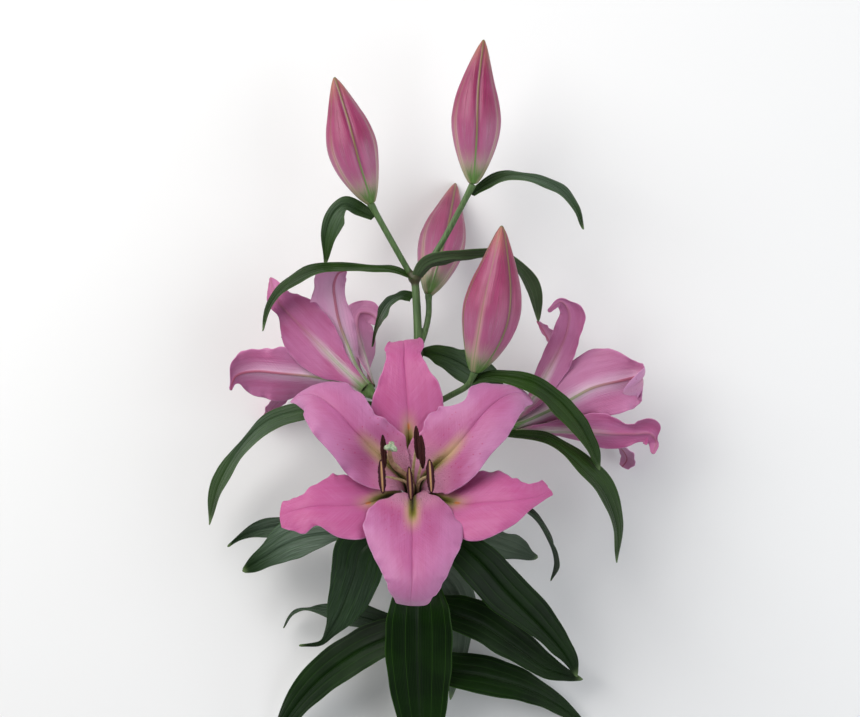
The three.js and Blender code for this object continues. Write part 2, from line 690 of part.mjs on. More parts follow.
for (const [bloomName, tepals] of Object.entries(TEPALS)) {
  Object.entries(tepals).forEach(([tepalName, layout], index) => {
    const isPetal = tepalName.startsWith('petal');
    const size = isPetal ? PETAL_WAVE : SEPAL_WAVE;
    const wave = { size, count: WAVES_PER_TEPAL, phase: 0.2 + 0.1 * index };
    const solid = solidFrom(tepal(BLOOMS[bloomName], layout, wave));
    const look = isPetal ? FINISHES.petal : FINISHES.sepal;
    addPiece(`${bloomName}_${tepalName}`, geometryOf(cutAway(solid, stemSeat)), look);
  });
}

// ---------------------------------------------------------------- stamens and pistils
// The front bloom's anthers, as they hang: the middle of each, and its filament's azimuth.
const FRONT_ANTHERS = [
  { middle: [-31.7, 22.7, 147], azimuth: 150 },
  { middle: [-32.7, 6, 154], azimuth: 210 },
  { middle: [-8.9, 28.8, 143], azimuth: 90 },
  { middle: [-5.5, 22.7, 151], azimuth: 30 },
  { middle: [0.3, 6.3, 155], azimuth: -30 },
  { middle: [-13.6, 1.5, 158], azimuth: -90 },
];
const FRONT_ANTHER_WAY = [0.06, -1, 0];
const SIDE_ANTHER_RING = { along: 58.8, away: 14 };

// The style's path: along the axis, and off it in the bloom's two cross directions.
const STYLE_PATHS = {
  front: [[0, 0, 0], [14, 0, 0], [27, -1.5, 0], [40, -6, -0.5], [52, -12.5, -0.6],
    [64, -15.3, 2.9], [72, -14.5, 5.6]],
  left: [[0, 0, 0], [20, 0, 0], [40, 1, 1], [60, 3, 2], [74, 6, 3]],
  right: [[0, 0, 0], [20, 0, 0], [40, 1, -1], [60, 3, -2], [74, 6, -3]],
};

// The stigma's rings, from its underside to its top.
const STIGMA_RINGS = [
  { height: -3, flare: 0.35 },
  { height: -0.6, flare: 0.85 },
  { height: 1.6, flare: 1 },
  { height: 2.4, flare: 0.6 },
];

function anther(middle, way, back) {
  const { length, halfWidth, halfDepth, sides, endFullness } = ANTHER;
  const shares = [-1, -0.85, -0.4, 0.4, 0.85, 1];
  const points = shares.map((share) => middle.clone().addScaledVector(way, (share * length) / 2));
  const shape = (place, angle) => {
    const fullness = Math.max(endFullness, Math.sqrt(1 - (2 * place - 1) ** 4));
    return fullness * Math.hypot(halfDepth * Math.cos(angle), halfWidth * Math.sin(angle));
  };
  return rod(points, shape, sides, back);
}

function filament(points) {
  const { radius, tipRadius, sides, steps } = FILAMENT;
  const rows = points.map((point) => point.toArray());
  const smooth = sampleStations(rows, steps).map(fromRow);
  const radii = smooth.map((_, i) => THREE.MathUtils.lerp(radius, tipRadius, i / steps));
  return solidFrom(rod(smooth, radii, sides, vector(0.3, 0.9, 0.2)));
}

// The short tube round the ovary that the filaments grow from.
function stamenRing(bloom) {
  const { place, axis } = bloomFrame(bloom);
  const { inner, outer, height, sides } = STAMEN_RING;
  const profile = [[inner, 0], [outer, 0], [outer, height], [inner, height], [inner, 0]];
  const ring = new THREE.LatheGeometry(profile.map(([r, y]) => new THREE.Vector2(r, y)), sides);
  ring.applyQuaternion(new THREE.Quaternion().setFromUnitVectors(vector(0, 1, 0), axis));
  const foot = place(STAMEN_FOOT, 0, 0);
  ring.translate(foot.x, foot.y, foot.z);
  return solidFrom(ring);
}

// A filament's root in the ring and the waist that it rises to, beside the style.
function filamentStart({ place, outward }, azimuth) {
  const out = outward(THREE.MathUtils.degToRad(azimuth));
  const rootRadius = (STAMEN_RING.inner + STAMEN_RING.outer) / 2;
  const root = place(0, 0, 0).addScaledVector(out, rootRadius);
  const waist = place(STAMEN_WAIST.along, 0, 0).addScaledVector(out, STAMEN_WAIST.out);
  return { out, root, waist };
}

function frontStamens(bloom) {
  const frame = bloomFrame(bloom);
  const underAnther = vector(0, 0, -ANTHER.halfDepth - SEAT_GAP - FILAMENT.tipRadius);
  const filaments = FRONT_ANTHERS.map(({ middle, azimuth }) => {
    const { out, root, waist } = filamentStart(frame, azimuth);
    const end = fromRow(middle).add(underAnther);
    const elbow = waist.clone().lerp(end, 0.6).addScaledVector(out, 1);
    return filament([root, waist, elbow, end]);
  });
  return joinAll([stamenRing(bloom), ...filaments]);
}

function sideStamens(bloom) {
  const frame = bloomFrame(bloom);
  const parts = [30, 90, 150, 210, 270, 330].flatMap((azimuth) => {
    const { out, root, waist } = filamentStart(frame, azimuth);
    const { along, away } = SIDE_ANTHER_RING;
    const tip = frame.place(along, 0, 0).addScaledVector(out, away);
    const elbow = waist.clone().lerp(tip, 0.5).addScaledVector(out, -1);
    const way = frame.axis.clone().multiplyScalar(0.8).addScaledVector(out, 0.6).normalize();
    const head = anther(tip, way, frame.axis);
    return [filament([root, waist, elbow, tip]), solidFrom(head)];
  });
  return joinAll([stamenRing(bloom), ...parts]);
}

function pistil(bloom, path) {
  const { place, first } = bloomFrame(bloom);
  const points = sampleStations(path, STYLE.steps).map(([along, u, v]) => place(along, u, v));
  points[0] = place(STAMEN_FOOT, 0, 0);
  const width = (share) => (share < OVARY.share ? OVARY.radius : STYLE.radius);
  const style = rod(points, width, STYLE.sides, first);
  const tip = points.at(-1);
  const way = tip.clone().sub(points.at(-2)).normalize();
  const cap = STIGMA_RINGS.map(({ height }) => tip.clone().addScaledVector(way, height));
  const lobes = (share, angle) => {
    const { flare } = STIGMA_RINGS[Math.round(share * (STIGMA_RINGS.length - 1))];
    return STIGMA.radius * flare * (1 - STIGMA.lobeDepth * (1 - Math.cos(3 * angle)));
  };
  return solidFrom(style).add(solidFrom(rod(cap, lobes, STIGMA.sides, first)));
}

for (const [name, bloom] of Object.entries(BLOOMS)) {
  const pistilSolid = pistil(bloom, STYLE_PATHS[name]);
  addPiece(`${name}_pistil`, geometryOf(cutAway(pistilSolid, stemSeat)), FINISHES.pistil);
  const stamens = name === 'front' ? frontStamens(bloom) : sideStamens(bloom);
  addPiece(`${name}_filaments`, geometryOf(cutAway(stamens, stemSeat)), FINISHES.filament);
}

FRONT_ANTHERS.forEach(({ middle }, index) => {
  const geometry = anther(fromRow(middle), fromRow(FRONT_ANTHER_WAY).normalize(), vector(0, 0, -1));
  addPiece(`front_anther_${index + 1}`, geometry, FINISHES.anther);
});

// ---------------------------------------------------------------- buds
// Each bud's line from its stalk to its tip, and its greatest radius.
const BUDS = {
  bud_a: { line: [[-41.5, 196, 84], [-52.5, 226, 89], [-60, 256, 92], [-67.5, 285, 95]], radius: 17.8 },
  bud_b: { line: [[30.5, 210, 84.5], [32.3, 243, 87], [33.5, 277, 90], [38, 312, 91]], radius: 17.6 },
  bud_c: { line: [[-1, 132, 65.5], [6, 160, 45], [12.5, 188, 23], [19, 217, 1]], radius: 17 },
  bud_d: { line: [[31, 76.5, 100], [40.5, 109, 107], [46.5, 144, 113], [50, 179, 118]], radius: 20.5 },
};
const BUD_PROFILE = [0.2, 0.5, 0.74, 0.89, 0.98, 1, 0.94, 0.82, 0.64, 0.44, 0.24, 0.05];

function bud({ line, radius }) {
  const steps = BUD_PROFILE.length - 1;
  const points = sampleStations(line, steps).map(fromRow);
  const shape = (place, angle) => {
    const swell = BUD_PROFILE[Math.round(place * steps)];
    return radius * swell * (1 + BUD_LOBE_DEPTH * Math.cos(3 * angle) * swell);
  };
  return solidFrom(rod(points, shape, BUD_SIDES));
}

for (const [name, layout] of Object.entries(BUDS)) {
  addPiece(name, geometryOf(cutAway(bud(layout), stemSeat)), FINISHES.bud);
}

export default lily;
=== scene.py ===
# %% [markdown]
# # A cut lily, dressed
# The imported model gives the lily's frame: one body called root, and a plain closed solid for the
# stem, each leaf, each tepal and each bud. A tepal is one of the six coloured leaves of a lily
# bloom: three inner petals and three outer sepals. This lesson models every one of them again as
# fine living tissue, in the same place and at the same size, and gives each its own finish.
# The plant's numbers are millimetres, and Blender's are metres.

# %% Load the fixed frame
import math

import bpy
import numpy as np
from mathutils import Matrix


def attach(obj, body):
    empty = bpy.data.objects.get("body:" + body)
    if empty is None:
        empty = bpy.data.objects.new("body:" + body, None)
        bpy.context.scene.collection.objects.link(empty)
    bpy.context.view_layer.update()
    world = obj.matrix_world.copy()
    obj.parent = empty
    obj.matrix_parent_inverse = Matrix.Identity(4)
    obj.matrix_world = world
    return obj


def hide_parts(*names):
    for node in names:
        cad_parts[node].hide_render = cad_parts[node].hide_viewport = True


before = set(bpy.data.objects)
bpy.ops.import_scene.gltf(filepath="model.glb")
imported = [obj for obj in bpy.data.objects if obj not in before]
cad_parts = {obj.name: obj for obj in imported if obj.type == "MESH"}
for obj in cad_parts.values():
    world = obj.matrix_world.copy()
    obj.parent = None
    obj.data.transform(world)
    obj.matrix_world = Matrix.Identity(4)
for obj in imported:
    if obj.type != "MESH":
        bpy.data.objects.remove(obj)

MM = 0.001
FOOTPRINT = np.array([4.0, 0.5, 0.0])  # where the frame's origin lies, in the plant's own numbers
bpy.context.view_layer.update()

# %% [markdown]
# ## The camera
# The lily lies on its back and is seen from straight above, from so far that its leaves and blooms
# keep their true proportions. A long lens does that: 100 mm on a 36 mm sensor, nearly two metres up.
# A camera at rest looks down its own -Z with +Y up in the picture, so it needs no turning.

# %% The camera
CAMERA_PLACE = np.array([-4.0, 85.9, 1780.0])
LENS, SENSOR = 100.0, 36.0

bpy.ops.object.camera_add(location=CAMERA_PLACE * MM, rotation=(0, 0, 0))
camera = bpy.context.object
camera.data.lens = LENS
camera.data.sensor_width = SENSOR
camera.data.clip_end = 20.0
bpy.context.scene.camera = camera
print("camera", tuple(round(v, 3) for v in camera.location), camera.data.lens, "mm")

# %% [markdown]
# ## Writing materials in short lines
# A material is a graph of nodes. Joining nodes one by one takes many lines, so a few small helpers
# each add a node and feed its sockets in a single call. A socket knows the tree that it is in, so a
# helper that is fed one needs no other word on where its node goes. Colours are written as a
# picture editor shows them, 0 to 255, and made linear for the shader.

# %% Helpers for node graphs
def rgb(red, green, blue):
    """A display colour made linear, with full opacity."""
    shares = (value / 255 for value in (red, green, blue))
    return (*(v / 12.92 if v <= 0.04045 else ((v + 0.055) / 1.055) ** 2.4 for v in shares), 1.0)


def feed(socket, value):
    """Links another socket to this one, or sets its value. None leaves it as it is."""
    if isinstance(value, bpy.types.NodeSocket):
        socket.id_data.links.new(value, socket)
    elif value is not None:
        socket.default_value = value


def add(tree, kind, *values, out=0, **options):
    """A new node with its first sockets fed. The answer is one of its outputs."""
    node = tree.nodes.new("ShaderNode" + kind)
    for option, value in options.items():
        setattr(node, option, value)
    for socket, value in zip(node.inputs, values):
        feed(socket, value)
    return node.outputs[out]


def home(*values):
    """The node tree of the first socket among the values."""
    return next(value.id_data for value in values if isinstance(value, bpy.types.NodeSocket))


def calc(operation, *values):
    return add(home(*values), "Math", *values, operation=operation)


def plus(one, other):
    return calc("ADD", one, other)


def ease(value, start, end):
    """0 where the value is at start, 1 where it is at end, and a soft curve between."""
    smooth = dict(interpolation_type="SMOOTHSTEP")
    return add(home(value), "MapRange", value, start, end, 0.0, 1.0, **smooth)


def both(*masks):
    product = masks[0]
    for mask in masks[1:]:
        product = calc("MULTIPLY", product, mask)
    return product


def mix(share, under, over):
    node = home(share).nodes.new("ShaderNodeMix")
    node.data_type = "RGBA"
    for index, value in ((0, share), (6, under), (7, over)):
        feed(node.inputs[index], rgb(*value) if isinstance(value, tuple) else value)
    return node.outputs[2]


def coats(colour, *layers):
    """Lays coats over a colour. Each has a colour, and the masks whose product says where it is."""
    for over, *masks in layers:
        colour = mix(both(*masks), colour, over)
    return colour


def noted(tree, name):
    """The vector that a piece's own points carry under a name, and its three numbers."""
    vector = add(tree, "Attribute", out=1, attribute_name=name)
    return vector, *add(tree, "SeparateXYZ", vector).node.outputs


def object_place(tree):
    return add(tree, "TexCoord", out=3)


def shared(group, *values):
    """Places one of the shared groups, and answers with its output."""
    return add(home(*values), "Group", *values, node_tree=group)


def surface(name, **constants):
    """A new material and its tree. Constants go straight on to the shader's sockets."""
    material = bpy.data.materials.new(name)
    material.use_nodes = True
    shader = material.node_tree.nodes["Principled BSDF"]
    for socket, value in constants.items():
        shader.inputs[socket.replace("_", " ")].default_value = value
    return material, material.node_tree


def dress(material, colour, height, depth, roughness=None):
    """Gives a material its colour, and raises it by a height of 0 to 1, times a depth in mm."""
    tree = material.node_tree
    bump = tree.nodes.new("ShaderNodeBump")
    bump.inputs["Distance"].default_value = depth * MM
    feed(bump.inputs["Height"], height)
    given = {"Base Color": colour, "Normal": bump.outputs[0], "Roughness": roughness}
    for socket, value in given.items():
        feed(tree.nodes["Principled BSDF"].inputs[socket], value)
    return material


print("helpers ready: a leaf green is", [round(v, 3) for v in rgb(30, 60, 20)])

# %% [markdown]
# ## Light and floor
# Petals are thin and soft, so they want soft light: one broad lamp high at the upper left gives the
# forms their shade, a weaker one at the right opens the shadows, and a pale sky fills the rest.
# The floor is a plain pale sheet. It is part of the stage and not of the lily.

# %% Light and floor
LAMP_AIM = 0.08  # m up the picture, where the middle of the lily lies
FLOOR_SIZE = 14  # m
SKY_HEIGHTS = (0.85, 0.1)  # between these the sky goes from its dim zenith to its bright horizon


def softbox(name, place, size, power, tint):
    """A square lamp of the given size that looks at the middle of the lily."""
    bpy.ops.object.light_add(type="AREA", location=place)
    lamp = bpy.context.object
    lamp.name = name
    lamp.data.size = size
    lamp.data.energy = power
    lamp.data.color = tint
    aim = lamp.location.copy()
    aim.y -= LAMP_AIM
    lamp.rotation_euler = aim.to_track_quat("Z", "Y").to_euler()


def studio_sky(zenith, horizon):
    """A sky that is dim overhead, so that gloss stays dark, and bright towards the walls."""
    sky = bpy.data.worlds.new("studio_sky")
    sky.use_nodes = True
    tree = sky.node_tree
    height = add(tree, "SeparateXYZ", add(tree, "TexCoord"), out=2)
    levels = (height, *SKY_HEIGHTS, zenith, horizon)
    strength = add(tree, "MapRange", *levels, interpolation_type="SMOOTHSTEP")
    feed(tree.nodes["Background"].inputs["Strength"], strength)
    tree.nodes["Background"].inputs["Color"].default_value = (0.94, 0.97, 1.0, 1)
    bpy.context.scene.world = sky


softbox("key_light", (-0.95, 0.95, 1.3), 1.5, 38, (1.0, 0.985, 0.96))
softbox("fill_light", (1.25, -0.2, 1.2), 1.6, 16, (0.93, 0.96, 1.0))
studio_sky(0.1, 0.85)
bpy.context.scene.view_settings.view_transform = "Standard"

bpy.ops.mesh.primitive_plane_add(size=FLOOR_SIZE)
floor = bpy.context.object
floor.name = "pale_floor"
print("two lamps, a sky and a floor of", floor.dimensions.x, "m")

# %% [markdown]
# ## Effects that several finishes share
# Every part of a plant is streaked along its length, because its cells and veins run that way, and
# every part is a little blotched. Both are noise textures: one is pulled out along the piece, and
# one is left round. Small dark freckles stand round a lily's throat, and come from a Voronoi
# pattern whose cells are mostly dropped. Each effect is a node group, made once.

# %% Shared node groups
def shared_group(name, build, **numbers):
    """A node group with a place and the given numbers as inputs, and one value as its output."""
    tree = bpy.data.node_groups.new(name, "ShaderNodeTree")
    tree.interface.new_socket(name="Place", in_out="INPUT", socket_type="NodeSocketVector")
    for label, value in numbers.items():
        socket = tree.interface.new_socket(name=label, in_out="INPUT", socket_type="NodeSocketFloat")
        socket.default_value = value
    tree.interface.new_socket(name="Value", in_out="OUTPUT", socket_type="NodeSocketFloat")
    entry = tree.nodes.new("NodeGroupInput")
    leave = tree.nodes.new("NodeGroupOutput")
    feed(leave.inputs[0], build(tree, *entry.outputs[: len(numbers) + 1]))
    return tree


def build_streaks(tree, place, fineness, stretch):
    """Noise over millimetres across and along, so many streaks to the millimetre."""
    across, along, _ = add(tree, "SeparateXYZ", place).node.outputs
    pulled = calc("DIVIDE", both(along, fineness), stretch)
    place = add(tree, "CombineXYZ", both(across, fineness), pulled, 0.0)
    return add(tree, "TexNoise", place, None, 1.0, 4.0, 0.6)


def build_blotches(tree, place, size):
    """Round noise over a place in metres, with blotches of a size in millimetres."""
    noise = add(tree, "TexNoise", place, None, calc("DIVIDE", 1 / MM, size), 2.0, 0.5)
    return ease(noise, 0.35, 0.65)


FRECKLED = 0.36  # the share of the cells that keep their freckle


def build_freckles(tree, place, spacing, size):
    """Round spots over millimetres, in some of the cells."""
    cells = tree.nodes.new("ShaderNodeTexVoronoi")
    cells.voronoi_dimensions = "2D"
    feed(cells.inputs["Vector"], place)
    feed(cells.inputs["Scale"], calc("DIVIDE", 1.0, spacing))
    spot = ease(both(cells.outputs["Distance"], spacing), size, both(size, 0.5))
    kept = calc("LESS_THAN", add(tree, "SeparateColor", cells.outputs["Color"]), FRECKLED)
    return both(spot, kept)


STREAKS = shared_group("lengthwise_streaks", build_streaks, Fineness=1.0, Stretch=20.0)
BLOTCHES = shared_group("blotches", build_blotches, Size=20.0)
FRECKLES = shared_group("freckles", build_freckles, Spacing=4.0, Size=0.6)
print("shared groups:", [group.name for group in (STREAKS, BLOTCHES, FRECKLES)])

# %% [markdown]
# ## What each point of a blade knows about itself
# A finish that follows a leaf or a petal has to know where on it a point lies. So each piece's
# points carry notes. "lie" holds the millimetres across from the midrib, the millimetres along
# from the root, and the share of the way out to the margin. "zone" holds the share of the way from
# root to tip, and then a leaf's share of painted sheen, or a tepal's distance from the bloom's
# axis and its kind.
# A tepal's "tone" says how much sooner its furrow ends, and how much painted light lifts it where it lies
# in shade.

# %% The finish of a leaf
LEAF_VEINS = 2.5  # main veins in each half of a leaf


def leaf_finish(name, dark, light, vein, gloss, specular):
    """Dark to light along its streaks, under a pale painted sheen, with veins, a margin and a tip."""
    material, tree = surface(name, Roughness=gloss, Specular_IOR_Level=specular)
    lie, _, _, edge = noted(tree, "lie")
    _, share, painted_sheen_share, _ = noted(tree, "zone")
    streaks = shared(STREAKS, lie, 1.4, 30.0)
    blotches = shared(BLOTCHES, object_place(tree), 28.0)
    beside = calc("PINGPONG", both(edge, LEAF_VEINS), 0.5)
    fine_veins = calc("PINGPONG", both(edge, LEAF_VEINS * 8), 0.5)
    painted_sheen = both(ease(streaks, 0.05, 0.95), ease(share, 0.1, 0.5), ease(share, 0.95, 0.6))
    colour = coats(
        mix(plus(both(streaks, 0.5), both(blotches, 0.45)), dark, light),
        # painted sheen: a pale grey-green veil standing in for gloss along the middle of the blade
        ((118, 138, 122), painted_sheen_share, painted_sheen),
        (vein, ease(beside, 0.06, 0.0), 0.35),
        (vein, ease(fine_veins, 0.3, 0.0), 0.12),
        (vein, ease(edge, 0.955, 0.99), 0.5),
        ((118, 142, 92), ease(share, 0.93, 1.0), 0.6),
    )
    ribbed = plus(both(fine_veins, 0.6), both(streaks, 0.7))
    return dress(material, colour, ribbed, 0.2, plus(both(streaks, 0.2), gloss - 0.1))


LEAF_SIDES = (
    leaf_finish("leaf_upper_side", (0, 14, 0), (14, 40, 2), (52, 88, 26), 0.38, 0.12),
    leaf_finish("leaf_under_side", (58, 74, 58), (84, 100, 80), (26, 38, 26), 0.6, 0.3),
)
BRACT_SIDES = (
    leaf_finish("bract_upper_side", (8, 30, 0), (36, 62, 14), (80, 112, 44), 0.4, 0.16),
    leaf_finish("bract_under_side", (48, 70, 40), (80, 102, 66), (106, 126, 88), 0.58, 0.3),
)
print("leaf finishes:", [side.name for side in LEAF_SIDES + BRACT_SIDES])

# %% [markdown]
# ## The finish of a tepal
# Inside, a tepal is rose near the throat and fades to lavender at its margin, with a thin mauve line
# along its rib. Nectar runs in a green furrow at the rib's foot, and the furrow ends in a cream
# flame. Outside, it is duller: a petal has a silvery band along a raised rib that is green at the
# foot and red towards the tip, and a sepal has a green-white flame at its foot alone.
# Petals glow a little from within, which a small amount of subsurface scattering gives.

# %% The finish of a tepal
SOFT = dict(
    Subsurface_Weight=0.08, Subsurface_Radius=(0.003, 0.0015, 0.0015), Sheen_Weight=0.1,
    Sheen_Roughness=0.4, Sheen_Tint=(0.9, 0.8, 1.0, 1.0), Specular_IOR_Level=0.45, Roughness=0.46,
)


def oblique_ripples(across, along, off_rib):
    """Fine ripples that leave the rib at a slant, as a tepal's side veins do."""
    slanted = calc("SUBTRACT", along, both(off_rib, 1.1))
    return shared(STREAKS, add(home(along), "CombineXYZ", slanted, across, 0.0), 0.9, 14.0)


def tepal_inside():
    material, tree = surface("tepal_inside", **SOFT)
    lie, across, along, edge = noted(tree, "lie")
    _, share, reach, petal = noted(tree, "zone")
    _, furrow_end, painted_light, _ = noted(tree, "tone")
    place = object_place(tree)
    sepal = calc("SUBTRACT", 1.0, petal)
    off_rib = calc("ABSOLUTE", across)
    streaks = shared(STREAKS, lie, 1.3, 16.0)
    bands = shared(STREAKS, lie, 0.17, 7.0)
    ripples = oblique_ripples(across, along, off_rib)
    rippled = both(ease(ripples, 0.35, 0.8), ease(off_rib, 1.0, 6.0), 0.16)
    rib_line = both(ease(off_rib, 0.7, 0.1), ease(share, 0.97, 0.8))
    ragged = plus(off_rib, both(streaks, 4.0))
    flame = both(ease(ragged, 11.0, 2.0), ease(reach, 12.0, 20.0), ease(reach, 50.0, 28.0))
    to_furrow = plus(reach, furrow_end)
    furrow_foot = ease(calc("ABSOLUTE", calc("SUBTRACT", to_furrow, 36.5)), 3.0, 0.8)
    in_throat = both(ease(reach, 16.0, 26.0), ease(reach, 62.0, 46.0))
    beside_rib = both(ease(off_rib, 2.0, 5.0), ease(off_rib, 26.0, 16.0))
    colour = coats(
        mix(ease(bands, 0.3, 0.7), (164, 82, 132), (154, 60, 112)),
        ((150, 54, 110), ease(streaks, 0.3, 0.75), 0.4),
        ((178, 104, 150), shared(BLOTCHES, place, 30.0), 0.3),
        ((184, 78, 134), sepal, 0.4),
        ((182, 130, 172), ease(edge, 0.1, 0.9), ease(reach, 20.0, 54.0), petal, 0.4),
        ((196, 134, 176), rippled),
        ((204, 150, 190), ease(edge, 0.95, 0.99), 0.35),  # the rim, a painted highlight where the margin catches the light
        ((180, 130, 168), ease(share, 0.62, 0.9), ease(off_rib, 16.0, 4.0), petal, 0.45),  # the tip
        ((174, 78, 126), ease(reach, 44.0, 20.0), 0.45),
        # painted light on tepals that lie in shade
        ((222, 160, 202), painted_light),
        ((216, 150, 180), ease(reach, 34.0, 13.0), ease(off_rib, 1.0, 5.0), 0.85),  # the throat: its own pale colour, laid on strongly as painted light against the shade that falls in it
        ((146, 56, 106), rib_line, plus(both(petal, 0.3), 0.2)),
        ((184, 158, 114), flame, 0.9),
        ((116, 112, 30), ease(off_rib, 4.0, 1.6), ease(to_furrow, 40.0, 28.0)),
        ((58, 58, 8), ease(off_rib, 2.4, 0.5), ease(to_furrow, 34.0, 23.0), 0.9),
        ((190, 110, 40), ease(off_rib, 1.8, 0.5), furrow_foot, sepal, 0.8),
        ((160, 36, 96), shared(FRECKLES, lie, 4.4, 0.62), petal, in_throat, beside_rib, 0.75),
    )
    pimples = both(shared(BLOTCHES, place, 0.9), ease(reach, 30.0, 16.0), 1.4)
    return dress(material, colour, plus(plus(streaks, ripples), pimples), 0.34)


def tepal_back():
    material, tree = surface("tepal_back", **SOFT)
    lie, across, along, edge = noted(tree, "lie")
    _, share, _, petal = noted(tree, "zone")
    _, _, painted_light, _ = noted(tree, "tone")
    sepal = calc("SUBTRACT", 1.0, petal)
    off_rib = calc("ABSOLUTE", across)
    streaks = shared(STREAKS, lie, 1.2, 20.0)
    bands = shared(STREAKS, lie, 0.2, 9.0)
    ragged = plus(off_rib, both(streaks, 7.0))
    ridge = ease(off_rib, 1.0, 0.4)
    petal_ridge = mix(ease(share, 0.2, 0.55), (106, 136, 72), (162, 72, 98))
    sepal_ridge = mix(ease(share, 0.12, 0.4), (124, 142, 98), (156, 92, 112))
    colour = coats(
        mix(ease(bands, 0.3, 0.7), (172, 94, 140), (162, 74, 122)),
        ((158, 66, 116), ease(streaks, 0.3, 0.75), 0.35),
        ((178, 112, 156), shared(BLOTCHES, object_place(tree), 26.0), 0.35),
        # painted light on tepals that lie in shade
        ((224, 166, 204), painted_light),
        ((198, 128, 172), ease(edge, 0.94, 0.99), 0.6),  # the rim, a painted highlight where the margin catches the light
        ((206, 172, 196), ease(ragged, 13.0, 5.0), ease(share, 0.97, 0.5), petal, 0.55),  # the band
        ((204, 196, 192), ease(ragged, 8.5, 3.0), ease(share, 0.5, 0.18), 0.85),  # the flame
        (petal_ridge, ridge, petal, 0.8),
        (sepal_ridge, ridge, sepal, 0.5),
        ((84, 118, 52), ease(plus(share, both(streaks, 0.12)), 0.17, 0.07), 0.9),  # the foot
    )
    return dress(material, colour, plus(streaks, oblique_ripples(across, along, off_rib)), 0.3)


TEPAL_SIDES = (tepal_inside(), tepal_back())
print("tepal finishes:", [side.name for side in TEPAL_SIDES])

# %% [markdown]
# ## Making a blade
# Leaves and tepals are all blades: a rib that bends through the air, and a sheet that spreads to
# both sides of it. By hand, you would start from a flat grid and pull it into shape. Here the same
# grid is laid along a rib that a few stations describe, from root to tip: x, y and z, the cup,
# which is how far the margins rise as a share of the half width, and the roll in degrees. Lists of
# half widths say how far the sheet spreads. Solidify then gives it thickness, and the second
# material at its back.

# %% Selecting, reading and writing points
def select_only(*things):
    bpy.ops.object.select_all(action="DESELECT")
    for thing in things:
        thing.select_set(True)
    bpy.context.view_layer.objects.active = things[0]


def read_points(thing):
    points = np.empty(len(thing.data.vertices) * 3)
    thing.data.vertices.foreach_get("co", points)
    return points.reshape(-1, 3)


def write_points(thing, points):
    thing.data.vertices.foreach_set("co", np.asarray(points).ravel())
    thing.data.update()


def note(thing, name, *columns):
    """Keeps three numbers with each point, for the materials to read."""
    held = thing.data.attributes.get(name) or thing.data.attributes.new(name, "FLOAT_VECTOR", "POINT")
    count = len(thing.data.vertices)
    held.data.foreach_set("vector", np.stack([np.broadcast_to(c, count) for c in columns], 1).ravel())


def apply_modifier(thing, kind, **options):
    select_only(thing)
    modifier = thing.modifiers.new(kind, kind)
    for option, value in options.items():
        setattr(modifier, option, value)
    bpy.ops.object.modifier_apply(modifier=modifier.name)


def edit_all(thing, operator, **options):
    """Runs a mesh operator on the whole of a piece."""
    select_only(thing)
    bpy.ops.object.mode_set(mode="EDIT")
    bpy.ops.mesh.select_all(action="SELECT")
    operator(**options)
    bpy.ops.object.mode_set(mode="OBJECT")


def unit_ball(name, segments, rings):
    """A ball of radius 1, and its points: three columns of x, y and z."""
    bpy.ops.mesh.primitive_uv_sphere_add(segments=segments, ring_count=rings, radius=1)
    piece = bpy.context.object
    piece.name = name
    return piece, *read_points(piece).T


def join(name, *things):
    select_only(*things)
    bpy.ops.object.join()
    things[0].name = name
    return things[0]


def hand_over(piece, node, slot):
    """Puts a piece in a plain solid's place."""
    select_only(piece)
    bpy.ops.object.shade_smooth()
    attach(piece, "root")
    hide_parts(node)


def unit(vectors):
    return vectors / np.linalg.norm(vectors, axis=-1, keepdims=True)


def in_frame(points):
    """Points in the plant's millimetres, moved to the frame's metres."""
    return (np.asarray(points) - FOOTPRINT) * MM


print("modelling helpers ready")

# %% Reading stations and following a rib
def read_stations(rows, places):
    """A smooth curve through rows of numbers, read at places from 0 to 1."""
    rows = np.asarray(rows, float)
    last = len(rows) - 1
    at = np.clip(np.asarray(places) * last, 0, last - 1e-9)
    i = at.astype(int)
    t = (at - i)[:, None]
    before, here = rows[np.maximum(i - 1, 0)], rows[i]
    ahead, after = rows[i + 1], rows[np.minimum(i + 2, last)]
    bend = 2 * before - 5 * here + 4 * ahead - after
    twist = 3 * here - before - 3 * ahead + after
    return here + 0.5 * t * (ahead - before + t * (bend + t * twist))


def read_list(values, places):
    return read_stations(np.reshape(values, (-1, 1)), places)[:, 0]


def follow(points, face):
    """The directions along a line of points, and a normal carried along it without twist."""
    forward = unit(np.gradient(points, axis=0))
    normal = np.asarray(face, float)
    normals = []
    for tangent in forward:
        normal = unit(normal - tangent * (normal @ tangent))
        normals.append(normal)
    return forward, np.array(normals)


def hump(distance, width):
    """1 at distance 0, falling away in a bell over the width."""
    return np.exp(-((distance / width) ** 2))


def waves(turns, phase=0.0):
    """A sine over a number of whole turns."""
    return np.sin(2 * math.pi * turns + phase)


def roll_up(s, turn):
    """Where a sheet of half width 1 has its points when it turns by an angle towards its margin."""
    steps = (np.arange(12) + 0.5) / 12
    angle = np.radians(turn)[:, None] * (np.abs(s)[:, None] * steps) ** 3
    return s * np.cos(angle).mean(1), np.abs(s) * np.sin(angle).mean(1)


def filled(rows, cups):
    """Stations of five numbers. One that ends early has the usual cup, and is 0 beyond it."""
    usual = [cups[min(index, len(cups) - 1)] for index in range(len(rows) - 1)] + [0]
    return [(*row, *(0, 0, 0, cup, 0)[len(row):]) for row, cup in zip(rows, usual)]


FLAT = [0] * 11  # the turns of a margin that doesn't roll up
LEAST_HALF_WIDTH = 0.3
MARGIN_THICKNESS = 0.35  # as a share of the thickness at the rib


def rib(stations, face, places):
    """A blade's stations read at places, and there the ways to its right and out of its face."""
    rows = read_stations(stations, places)
    forward, normals = follow(rows[:, :3], face)
    roll = np.radians(rows[:, 4:])
    normals = normals * np.cos(roll) + np.cross(forward, normals) * np.sin(roll)
    return rows, np.cross(forward, normals), normals


